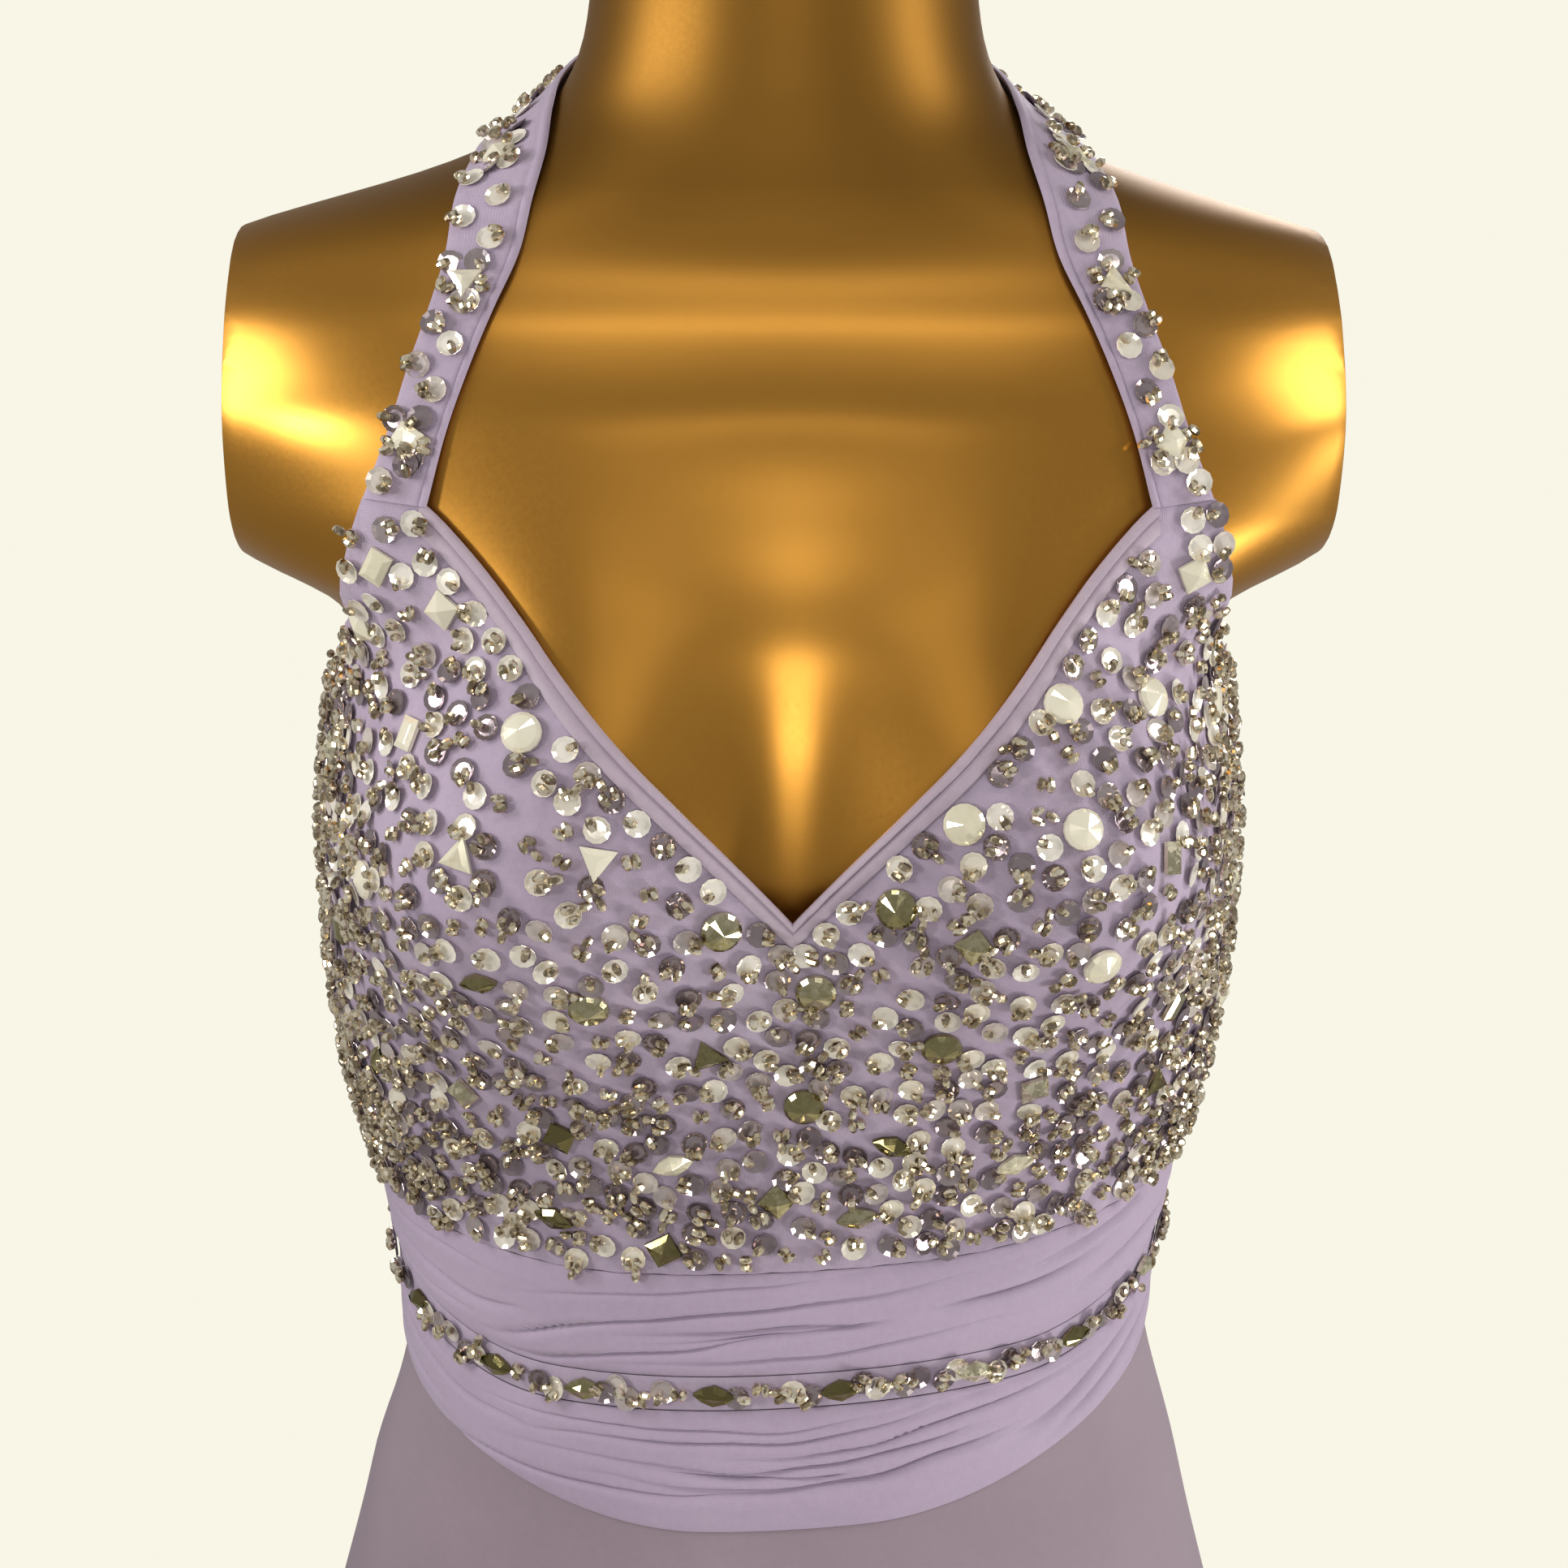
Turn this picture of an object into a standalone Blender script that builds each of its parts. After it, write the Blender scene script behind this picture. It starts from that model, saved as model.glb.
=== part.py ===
"""Long halter-neck evening dress on a limbless dress form with a pole stand.

Metres, +Z up. The origin is on the floor, under the pole. The front of the dress faces -Y.
Angles go round the body in degrees: 0 is the centre front, +90 the wearer's left side (+X)
and 180 the centre back. The dress and the form share one radius function, so every piece of
cloth is the form's own section, moved out by its ease.
"""

import math
from collections import namedtuple

import bmesh
import bpy
from mathutils import Vector

# Driving dimensions
FORM_BOTTOM = 0.800
NECK_TOP = 1.490
ARM_PLATE_X = 0.161
POLE_RADIUS = 0.016
BASE_RADIUS = 0.180
BASE_THICKNESS = 0.012
COLLAR_HEIGHT = 0.014
COLLAR_RADIUS = 0.031
FLANGE_RADIUS = 0.042
FLANGE_THICKNESS = 0.008
EDGE_ROUND = 0.002
HEM_HEIGHT = 0.030
HEM_HALF_WIDTH = 0.385
HEM_FRONT = 0.330
HEM_BACK = 0.370
SEAM_GAP = 0.0003
BODICE_EASE = 0.0020
BODICE_WALL = 0.0015
UNDERARM_EASE = 0.0030
BAND_EASE = 0.0012
BAND_WALL = 0.0016
SKIRT_WALL = 0.0012
SKIRT_SPREAD = 1.15
HIP_EASE = 0.0012
HIP_BLEND = 0.012
HIP_BLEND_SHARE = 0.05
STRAP_WALL = 0.0018
STRAP_STANDOFF = 0.0014
SHARP_ANGLE = 50.0
SIDE_SEAM = 90.0
CENTRE_BACK = 180.0
PANELS = [
    ("front", -SIDE_SEAM, SIDE_SEAM),
    ("back_left", SIDE_SEAM, CENTRE_BACK),
    ("back_right", -CENTRE_BACK, -SIDE_SEAM),
]

# The form's level sections, from the hips to the neck
Section = namedtuple("Section", "height half_width front back squareness")
SECTIONS = [
    Section(FORM_BOTTOM, 0.128, 0.085, 0.096, 2.20),
    Section(0.840, 0.146, 0.099, 0.110, 2.20),
    Section(0.880, 0.153, 0.104, 0.117, 2.20),
    Section(0.930, 0.142, 0.103, 0.112, 2.20),
    Section(0.980, 0.1275, 0.098, 0.099, 2.20),
    Section(1.020, 0.1195, 0.093, 0.087, 2.20),
    Section(1.060, 0.1205, 0.089, 0.079, 2.20),
    Section(1.100, 0.1260, 0.089, 0.077, 2.20),
    Section(1.140, 0.1350, 0.092, 0.082, 2.25),
    Section(1.180, 0.1385, 0.096, 0.089, 2.30),
    Section(1.215, 0.1385, 0.098, 0.094, 2.30),
    Section(1.250, 0.1355, 0.097, 0.098, 2.30),
    Section(1.275, 0.1310, 0.095, 0.101, 2.30),
    Section(1.286, 0.1370, 0.094, 0.102, 2.25),
    Section(1.300, 0.166, 0.0915, 0.103, 2.20),
    Section(1.320, 0.190, 0.089, 0.104, 2.20),
    Section(1.345, 0.200, 0.0855, 0.103, 2.20),
    Section(1.370, 0.192, 0.0745, 0.099, 2.20),
    Section(1.385, 0.180, 0.0640, 0.094, 2.15),
    Section(1.394, 0.1660, 0.0600, 0.089, 2.10),
    Section(1.403, 0.136, 0.0577, 0.084, 2.05),
    Section(1.411, 0.1080, 0.0562, 0.079, 2.00),
    Section(1.419, 0.0870, 0.0551, 0.074, 2.00),
    Section(1.427, 0.0730, 0.0545, 0.070, 2.00),
    Section(1.437, 0.0645, 0.0540, 0.066, 2.00),
    Section(1.450, 0.0590, 0.0540, 0.062, 2.00),
    Section(1.470, 0.0565, 0.0550, 0.058, 2.00),
    Section(NECK_TOP, 0.0560, 0.0560, 0.056, 2.00),
]

# The cups: one smooth swelling on each side, with a valley between that the cloth bridges
CUP_HEIGHT = 1.218
CUP_ANGLE = 36.0
CUP_SPREAD = 24.0
CUP_DEPTH = 0.034
CUP_RISE = 0.070
CUP_FALL = 0.052
FORM_VALLEY = 0.92
CLOTH_VALLEY = 0.58

# Seams round the body: the height at the centre front, and the rise towards the sides
Seam = namedtuple("Seam", "front_height side_rise rise_starts")
RISE_ENDS = 100.0
UNDERBUST_SEAM = Seam(1.0960, 0.0110, 30.0)
TRIM_TOP_SEAM = Seam(1.0625, 0.0235, 42.0)
TRIM_BOTTOM_SEAM = Seam(1.0515, 0.0235, 42.0)
SKIRT_SEAM = Seam(1.0130, 0.0310, 15.0)

# The dress hangs a little askew, with its seams lower on the wearer's right
SEAM_SKEW = 0.0042

# The bodice's upper edge, from the point of the V round to the centre back
EdgePoint = namedtuple("EdgePoint", "angle height")
BODICE_EDGE = [
    EdgePoint(0.0, 1.2115),
    EdgePoint(17.0, 1.2490),
    EdgePoint(34.0, 1.2850),
    EdgePoint(50.7, 1.3230),
    EdgePoint(56.5, 1.3250),
    EdgePoint(57.8, 1.3140),
    EdgePoint(60.0, 1.3010),
    EdgePoint(64.0, 1.2900),
    EdgePoint(71.0, 1.2800),
    EdgePoint(80.0, 1.2700),
    EdgePoint(90.0, 1.2580),
    EdgePoint(105.0, 1.2330),
    EdgePoint(125.0, 1.1920),
    EdgePoint(150.0, 1.1520),
    EdgePoint(180.0, 1.1360),
]
BINDING_DROP = 0.0082
BINDING_WALL = 0.0010
STRAP_INNER_ANGLE = 50.7
STRAP_OUTER_ANGLE = 56.5

# The halter strap: where its neck-side and arm-side edges pass over the form
StrapStation = namedtuple("StrapStation", "inner_angle inner_height outer_angle outer_height")
STRAP_STATIONS = [
    StrapStation(50.7, 1.3234, 56.5, 1.3254),
    StrapStation(50.0, 1.3430, 55.8, 1.3430),
    StrapStation(50.0, 1.3600, 56.2, 1.3600),
    StrapStation(51.0, 1.3750, 57.7, 1.3745),
    StrapStation(52.8, 1.3900, 60.8, 1.3890),
    StrapStation(55.5, 1.4045, 66.0, 1.4040),
    StrapStation(61.5, 1.4180, 75.0, 1.4140),
    StrapStation(74.0, 1.4300, 87.0, 1.4190),
    StrapStation(95.0, 1.4400, 104.0, 1.4220),
    StrapStation(122.0, 1.4510, 126.0, 1.4280),
    StrapStation(148.0, 1.4585, 150.0, 1.4345),
    StrapStation(166.0, 1.4605, 166.0, 1.4370),
    StrapStation(180.0, 1.4610, 180.0, 1.4375),
    StrapStation(191.0, 1.4600, 191.0, 1.4385),
]
STRAP_LAPS_FROM = 160.0
STRAP_STEPS = 2
STRAP_LAP_LIFT = STRAP_WALL + 0.0005
BUTTON_RADIUS = 0.0055
BUTTON_HEIGHT = 0.0035

# Lapped pleats of the gathered bands: place up the band, depth, and the angles between which
# the pleat is deep
Pleat = namedtuple("Pleat", "share depth left_angle right_angle")
UPPER_PLEATS = [
    Pleat(0.10, 0.0014, -62.0, 150.0),
    Pleat(0.30, 0.0018, -130.0, 70.0),
    Pleat(0.50, 0.0020, -46.0, 178.0),
    Pleat(0.70, 0.0016, -178.0, 88.0),
    Pleat(0.90, 0.0017, -52.0, 140.0),
]
LOWER_PLEATS = [
    Pleat(0.08, 0.0012, -70.0, 60.0),
    Pleat(0.25, 0.0018, -178.0, 96.0),
    Pleat(0.42, 0.0021, -84.0, 178.0),
    Pleat(0.59, 0.0016, -140.0, 82.0),
    Pleat(0.76, 0.0019, -92.0, 140.0),
    Pleat(0.92, 0.0015, -178.0, 178.0),
]
PLEAT_HALF_SPACING = 0.105
PLEAT_CREST = -0.6
PLEAT_LEAST = 0.35
PLEAT_FADE = 28.0

# Soft flutes of the skirt: where each stands, how wide, how deep at the hem, where it begins
Flute = namedtuple("Flute", "angle half_width depth top_height")
FLUTES = [
    Flute(-170.0, 13.0, 0.034, 0.86),
    Flute(-146.0, 11.0, 0.028, 0.90),
    Flute(-122.0, 13.0, 0.036, 0.84),
    Flute(-99.0, 10.0, 0.026, 0.92),
    Flute(-77.0, 12.0, 0.032, 0.88),
    Flute(-54.0, 11.0, 0.027, 0.80),
    Flute(-33.0, 10.0, 0.030, 0.86),
    Flute(-11.0, 11.0, 0.024, 0.76),
    Flute(12.0, 12.0, 0.029, 0.82),
    Flute(35.0, 11.0, 0.033, 0.92),
    Flute(57.0, 10.0, 0.026, 0.84),
    Flute(79.0, 12.0, 0.031, 0.90),
    Flute(103.0, 12.0, 0.035, 0.86),
    Flute(126.0, 11.0, 0.027, 0.82),
    Flute(149.0, 12.0, 0.033, 0.92),
    Flute(171.0, 9.0, 0.024, 0.84),
]
FLUTE_GROWTH = 1.25

# Large sewn-on stones, raised from the cloth: angle, height, and how far they stand out
Stone = namedtuple("Stone", "angle height")
STONE_RELIEF = 0.0030
STONE_EDGE = 0.28
BODICE_STONES = [
    Stone(-36.0, 1.268), Stone(-62.0, 1.262), Stone(-52.0, 1.292), Stone(-55.0, 1.308),
    Stone(-68.0, 1.222), Stone(-50.0, 1.236), Stone(-29.0, 1.240), Stone(-9.0, 1.204),
    Stone(-44.0, 1.196), Stone(-26.0, 1.186), Stone(3.0, 1.184), Stone(-12.0, 1.168),
    Stone(-45.0, 1.158), Stone(20.0, 1.170), Stone(2.0, 1.152), Stone(34.0, 1.152),
    Stone(14.0, 1.214), Stone(24.0, 1.240), Stone(40.0, 1.238), Stone(38.0, 1.276),
    Stone(52.0, 1.276), Stone(25.0, 1.202), Stone(44.0, 1.196), Stone(62.0, 1.226),
    Stone(62.0, 1.180), Stone(-33.0, 1.138), Stone(-16.0, 1.130), Stone(-3.0, 1.118),
    Stone(12.0, 1.134), Stone(8.0, 1.112), Stone(36.0, 1.128), Stone(-34.0, 1.112),
    Stone(-16.0, 1.104), Stone(-52.0, 1.118), Stone(56.0, 1.306), Stone(76.0, 1.240),
    Stone(-78.0, 1.180), Stone(78.0, 1.150), Stone(-76.0, 1.140),
]
TRIM_STONE_ANGLES = [-70.0, -48.0, -28.0, -9.0, 8.0, 30.0, 50.0, 71.0]
STRAP_STONE_ROWS = [3, 6, 9, 12]

# Concealed zip at the centre back
ZIP_SLIDER = Vector((0.0050, 0.0026, 0.0085))
ZIP_TOP_DROP = 0.0075
ZIP_PIN_RADIUS = 0.0006
ZIP_PIN_REACH = 0.0024
ZIP_LUG = Vector((0.0009, 0.0042, 0.0026))
ZIP_PULL_LENGTH = 0.018
ZIP_PULL_HALF_WIDTH = 0.0021
ZIP_TAB_WIDTH = 0.0038
ZIP_PULL_THICKNESS = 0.0012
ZIP_PULL_TAPER = 0.55
ZIP_BARREL_RADIUS = 0.0017
ZIP_EYE_RADIUS = 0.0009

# Rows and columns of the meshes
FORM_COLUMNS = 36
BAND_ANGLE_STEP = 10.0
FORM_HEIGHTS = [
    FORM_BOTTOM, 0.835, 0.880, 0.920, 0.960, 0.990, 1.015, 1.040, 1.060, 1.080, 1.095, 1.110,
    1.125, 1.143, 1.162, 1.181, 1.200, 1.218, 1.236, 1.255, 1.272, 1.286, 1.293, 1.300, 1.310, 1.325,
    1.345, 1.362, 1.376, 1.386, 1.394, 1.401, 1.407, 1.413, 1.419, 1.425, 1.432, 1.441, 1.453,
    1.470, NECK_TOP,
]
BODICE_ROWS = 14
BODICE_FRONT_ANGLES = [
    0.0, 6.0, 12.0, 18.0, 24.0, 30.0, 36.0, 42.0, 47.0, 50.7, 56.5, 57.8, 60.0, 64.0, 71.0, 80.0,
    90.0,
]
BODICE_BACK_ANGLES = [90.0, 98.0, 107.0, 116.0, 126.0, 137.0, 148.0, 159.0, 170.0, 180.0]
UPPER_BAND_ROWS = 12
LOWER_BAND_ROWS = 14
SKIRT_ANGLE_STEP = 5.0
SKIRT_SHARES = [0.0, 0.022, 0.05, 0.08, 0.115, 0.16, 0.23, 0.34, 0.48, 0.64, 0.82, 1.0]


def smooth_step(value):
    value = max(0.0, min(1.0, value))
    return value * value * (3.0 - 2.0 * value)


def hermite(x_values, y_values, x):
    """A monotone cubic through the points, as a draughtsman's curve without overshoot."""
    last = len(x_values) - 1
    if x <= x_values[0]:
        return y_values[0]
    if x >= x_values[last]:
        return y_values[last]
    start = max(i for i in range(last) if x_values[i] <= x)

    def rise(i):
        return (y_values[i + 1] - y_values[i]) / (x_values[i + 1] - x_values[i])

    def slope(i):
        if i == 0 or i == last:
            return rise(min(i, last - 1))
        before, after = rise(i - 1), rise(i)
        return 0.0 if before * after <= 0 else 2 * before * after / (before + after)

    span = x_values[start + 1] - x_values[start]
    t = (x - x_values[start]) / span
    return (
        (2 * t**3 - 3 * t**2 + 1) * y_values[start]
        + (t**3 - 2 * t**2 + t) * span * slope(start)
        + (3 * t**2 - 2 * t**3) * y_values[start + 1]
        + (t**3 - t**2) * span * slope(start + 1)
    )


def section_value(name, height):
    return hermite([s.height for s in SECTIONS], [getattr(s, name) for s in SECTIONS], height)


def oval_radius(angle, half_width, front, back, squareness):
    """Radius of a squared oval at an angle from the front."""
    along = math.cos(math.radians(angle))
    across = math.sin(math.radians(angle))
    depth = front if along > 0 else back
    return (abs(along / depth) ** squareness + abs(across / half_width) ** squareness) ** (
        -1 / squareness
    )


def cup_swell(angle, height, valley):
    """How far the cups push the section out."""
    away = abs((angle + 180) % 360 - 180)
    if away < CUP_ANGLE:
        share = 1 - valley * math.cos(math.pi / 2 * away / CUP_ANGLE) ** 2
    else:
        share = math.exp(-(((away - CUP_ANGLE) / CUP_SPREAD) ** 2))
    reach = CUP_RISE if height > CUP_HEIGHT else CUP_FALL
    return CUP_DEPTH * share * math.exp(-(((height - CUP_HEIGHT) / reach) ** 2))


def body_radius(angle, height, valley=CLOTH_VALLEY):
    return oval_radius(
        angle,
        section_value("half_width", height),
        section_value("front", height),
        section_value("back", height),
        section_value("squareness", height),
    ) + cup_swell(angle, height, valley)


def place(angle, radius, height):
    turn = math.radians(angle)
    return Vector((radius * math.sin(turn), -radius * math.cos(turn), height))


def seam_height(seam, angle):
    reach = (abs(angle) - seam.rise_starts) / (RISE_ENDS - seam.rise_starts)
    skew = SEAM_SKEW * math.sin(math.radians(angle))
    return seam.front_height + seam.side_rise * smooth_step(reach) + skew


def bodice_edge(angle):
    """Height of the bodice's upper edge: straight runs up to the strap, then a curve."""
    away = abs(angle)
    if away <= STRAP_OUTER_ANGLE:
        for low, high in zip(BODICE_EDGE, BODICE_EDGE[1:]):
            if away <= high.angle:
                share = (away - low.angle) / (high.angle - low.angle)
                return low.height + (high.height - low.height) * share
    curve = [p for p in BODICE_EDGE if p.angle >= STRAP_OUTER_ANGLE]
    return hermite([p.angle for p in curve], [p.height for p in curve], away)


def stepped(start, end, step):
    count = round((end - start) / step)
    return [start + (end - start) * i / count for i in range(count + 1)]


def trimmed_point(angles, column, radius, height):
    """A point on a panel, held half a seam gap short of the panel's two upright seams."""
    towards = (column == 0) - (column == len(angles) - 1)
    turn = math.degrees(SEAM_GAP / 2 / radius)
    return place(angles[column] + towards * turn, radius, height)


def new_object(name, mesh_data, material):
    made = bpy.data.objects.new(name, mesh_data)
    made.data.materials.append(material)
    DRESS.objects.link(made)
    return made


def adopt(name, made, material):
    """Names an object, gives it its material and moves it to the dress's collection."""
    made.name = made.data.name = name
    made.data.materials.append(material)
    made.data.shade_smooth()
    made.data.set_sharp_from_angle(angle=math.radians(SHARP_ANGLE))
    for used in list(made.users_collection):
        used.objects.unlink(made)
    DRESS.objects.link(made)


def finish_mesh(name, shape, material):
    """Turns a bmesh into a named object of the dress."""
    mesh = bpy.data.meshes.new(name)
    shape.to_mesh(mesh)
    shape.free()
    mesh.shade_smooth()
    mesh.set_sharp_from_angle(angle=math.radians(SHARP_ANGLE))
    return new_object(name, mesh, material)


def grid_faces(shape, points):
    """A sheet of quads through rows of points, and its corners and faces by row and column."""
    corners = [[shape.verts.new(point) for point in row] for row in points]
    faces = [
        [
            shape.faces.new((low[c], low[c + 1], high[c + 1], high[c]))
            for c in range(len(low) - 1)
        ]
        for low, high in zip(corners, corners[1:])
    ]
    return corners, faces


def wall_shape(outer, inner):
    """A cloth wall between two sheets that need not be parallel, with its cut edges closed.

    Returns the bmesh and its outer faces by row and column.
    """
    shape = bmesh.new()
    (top, outer_faces), (under, _) = grid_faces(shape, outer), grid_faces(shape, inner)
    for skin_rim, under_rim in (
        (top[0], under[0]),
        (top[-1], under[-1]),
        ([row[0] for row in top], [row[0] for row in under]),
        ([row[-1] for row in top], [row[-1] for row in under]),
    ):
        for i in range(len(skin_rim) - 1):
            shape.faces.new((skin_rim[i], skin_rim[i + 1], under_rim[i + 1], under_rim[i]))
    bmesh.ops.recalc_face_normals(shape, faces=shape.faces)
    return shape, outer_faces


def thicken(made, thickness):
    """Cloth thickness on an open surface, outwards."""
    wall = made.modifiers.new("cloth", "SOLIDIFY")
    wall.thickness = thickness
    wall.offset = 1.0
    wall.use_even_offset = True


def panel_grids(angles, shares, height_at, inner_radius, outer_radius):
    """Outer and inner points of a panel, row by row upwards."""
    outer, inner = [], []
    for share in shares:
        heights = [height_at(angle, share) for angle in angles]
        for grid, radius_at in ((outer, outer_radius), (inner, inner_radius)):
            grid.append(
                [
                    trimmed_point(angles, c, radius_at(angle, heights[c]), heights[c])
                    for c, angle in enumerate(angles)
                ]
            )
    return outer, inner


def raise_stone(shape, face):
    """Raises a faceted stone from one outer face of a wall."""
    size = min(edge.calc_length() for edge in face.edges)
    bmesh.ops.inset_individual(
        shape, faces=[face], thickness=size * STONE_EDGE, depth=STONE_RELIEF * 0.6
    )
    crown = bmesh.ops.poke(shape, faces=[face])["verts"][0]
    crown.co += crown.normal * STONE_RELIEF * 0.4


def nearest_face(faces, target):
    return min(faces, key=lambda f: (f.calc_center_median() - target).length)


def raise_stones(shape, outer_faces, targets):
    faces = [f for row in outer_faces for f in row]
    for target in targets:
        face = nearest_face(faces, target)
        faces.remove(face)
        raise_stone(shape, face)


def bodice_height(angle, share):
    """Rows of the bodice: even up to the binding's lower edge, then the binding's own depth."""
    low = seam_height(UNDERBUST_SEAM, angle) + SEAM_GAP / 2
    high = bodice_edge(angle)
    if share >= 1.0:
        return high
    return low + (high - BINDING_DROP - low) * share * BODICE_ROWS / (BODICE_ROWS - 1)


def bodice_lift(angle, height):
    """The bodice's ease, and more of it where the cloth spans the hollow under the arm."""
    hollow = smooth_step((height - 1.250) / 0.030) * smooth_step((abs(angle) - 48.0) / 9.0)
    return BODICE_EASE + UNDERARM_EASE * hollow


def bodice_radius(lift):
    return lambda angle, height: body_radius(angle, height) + bodice_lift(angle, height) + lift


def bodice_panel(name, angles, stones, material):
    shares = [r / BODICE_ROWS for r in range(BODICE_ROWS + 1)]
    outer, inner = panel_grids(
        angles, shares, bodice_height,
        bodice_radius(0.0), bodice_radius(BODICE_WALL),
    )
    shape, outer_faces = wall_shape(outer, inner)
    reach = BODICE_EASE + BODICE_WALL
    targets = [
        place(s.angle, body_radius(s.angle, s.height) + reach, s.height) for s in stones
    ]
    raise_stones(shape, outer_faces[:-1], targets)
    return finish_mesh(name, shape, material)


def bodice(material):
    front = [-a for a in reversed(BODICE_FRONT_ANGLES[1:])] + BODICE_FRONT_ANGLES
    bodice_panel("bodice_front", front, BODICE_STONES, material)
    bodice_panel("bodice_back_left", BODICE_BACK_ANGLES, [], material)
    bodice_panel("bodice_back_right", [-a for a in reversed(BODICE_BACK_ANGLES)], [], material)


def neckline_binding(material):
    """The plain satin binding that finishes the V, made from the bodice's own points."""
    angles = [a for a in BODICE_FRONT_ANGLES if a <= STRAP_INNER_ANGLE]
    angles = [-a for a in reversed(angles[1:])] + angles
    outside = bodice_radius(BODICE_WALL + SEAM_GAP)
    surface, _ = panel_grids(
        angles, [0.0, 1.0],
        lambda angle, share: bodice_edge(angle) - BINDING_DROP * (1 - share),
        outside, outside,
    )
    shape = bmesh.new()
    grid_faces(shape, surface)
    thicken(finish_mesh("neckline_binding", shape, material), BINDING_WALL)


def pleat_relief(pleats, angle, share):
    """Lapped pleats: each rises slowly and drops at its lower crease, and fades at its ends."""
    relief = 0.0
    for pleat in pleats:
        offset = (share - pleat.share) / PLEAT_HALF_SPACING
        if abs(offset) >= 1:
            continue
        if offset < PLEAT_CREST:
            profile = (1 + offset) / (1 + PLEAT_CREST)
        else:
            profile = (1 - offset) / (1 - PLEAT_CREST)
        inside = min(angle - pleat.left_angle, pleat.right_angle - angle)
        strength = PLEAT_LEAST + (1 - PLEAT_LEAST) * smooth_step(inside / PLEAT_FADE + 0.5)
        relief += pleat.depth * strength * profile
    return relief


def band_panel(name, angles, rows, seams, pleats, material, stones):
    """One panel of a band between its lower and its upper seam."""
    low_seam, high_seam = seams

    def height_at(angle, share):
        low = seam_height(low_seam, angle) + SEAM_GAP / 2
        high = seam_height(high_seam, angle) - SEAM_GAP / 2
        return low + (high - low) * share

    def outer_radius(angle, height):
        low = seam_height(low_seam, angle)
        share = (height - low) / (seam_height(high_seam, angle) - low)
        relief = pleat_relief(pleats, angle, share)
        return body_radius(angle, height) + BAND_EASE + BAND_WALL + relief

    outer, inner = panel_grids(
        angles, [r / rows for r in range(rows + 1)], height_at,
        lambda angle, height: body_radius(angle, height) + BAND_EASE, outer_radius,
    )
    shape, outer_faces = wall_shape(outer, inner)
    targets = []
    for angle in stones:
        height = height_at(angle, 0.5)
        targets.append(place(angle, outer_radius(angle, height), height))
    raise_stones(shape, outer_faces, targets)
    return finish_mesh(name, shape, material)


def band(name, rows, seams, pleats, material, stones=()):
    """A band round the body, cut as a front and two backs that meet at the zip."""
    for part, start, end in PANELS:
        band_panel(
            f"{name}_{part}", stepped(start, end, BAND_ANGLE_STEP), rows, seams, pleats, material,
            stones if part == "front" else [],
        )


def flute_relief(angle, height):
    """Soft flutes that grow towards the hem."""
    relief = 0.0
    for flute in FLUTES:
        away = abs((angle - flute.angle + 180) % 360 - 180) / flute.half_width
        if away >= 1 or height >= flute.top_height:
            continue
        drop = (flute.top_height - height) / (flute.top_height - HEM_HEIGHT)
        relief += flute.depth * drop**FLUTE_GROWTH * (0.5 + 0.5 * math.cos(math.pi * away))
    return relief


def skirt_radius(angle, height):
    """From the seam the cloth falls to the hem. It rests on the hips where they reach it."""
    top = seam_height(SKIRT_SEAM, angle)
    share = (top - height) / (top - HEM_HEIGHT)
    start = body_radius(angle, top) + BAND_EASE
    hem = oval_radius(angle, HEM_HALF_WIDTH, HEM_FRONT, HEM_BACK, 2.0)
    falling = start + (hem - start) * share**SKIRT_SPREAD
    hips = body_radius(angle, height) + HIP_EASE if height > FORM_BOTTOM else 0.0
    blend = HIP_BLEND * smooth_step(share / HIP_BLEND_SHARE)
    return (falling + hips + math.hypot(falling - hips, blend)) / 2 + flute_relief(angle, height)


def skirt_height(angle, share):
    top = seam_height(SKIRT_SEAM, angle) - SEAM_GAP / 2
    return HEM_HEIGHT + (top - HEM_HEIGHT) * share


def skirt(material):
    """A front and two back panels, from the seam under the bands to the hem."""
    shares = [1 - share for share in reversed(SKIRT_SHARES)]
    for part, start, end in PANELS:
        outer, inner = panel_grids(
            stepped(start, end, SKIRT_ANGLE_STEP), shares, skirt_height, skirt_radius,
            lambda angle, height: skirt_radius(angle, height) + SKIRT_WALL,
        )
        shape, _ = wall_shape(outer, inner)
        finish_mesh(f"skirt_{part}", shape, material)


def spline_through(points, steps):
    """Points along a smooth curve that passes through each of the given points."""
    ends = [2 * points[0] - points[1]] + points + [2 * points[-1] - points[-2]]
    made = []
    for i in range(len(points) - 1):
        before, start, end, after = ends[i : i + 4]
        for step in range(steps):
            t = step / steps
            made.append(
                0.5
                * (
                    2 * start
                    + (end - before) * t
                    + (2 * before - 5 * start + 4 * end - after) * t**2
                    + (3 * start - before - 3 * end + after) * t**3
                )
            )
    return made + [points[-1].copy()]


def strap_points(station, sign, lap_lift):
    """The strap's neck-side edge, middle and arm-side edge at a station.

    It is lifted where one strap laps the other, and its middle bridges any hollow.
    """
    first = station is STRAP_STATIONS[0]
    radii, angles, heights = [], [], []
    for share in (0.0, 0.5, 1.0):
        angle = station.inner_angle + (station.outer_angle - station.inner_angle) * share
        height = station.inner_height + (station.outer_height - station.inner_height) * share
        lift = bodice_lift(angle, height) if first else STRAP_STANDOFF
        lap = lap_lift if station.inner_angle > STRAP_LAPS_FROM else 0.0
        radii.append(body_radius(angle, height, FORM_VALLEY) + lift + lap)
        angles.append(angle)
        heights.append(height)
    radii[1] = max(radii[1], (radii[0] + radii[2]) / 2)
    return [place(sign * a, r, h) for a, r, h in zip(angles, radii, heights)]


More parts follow.
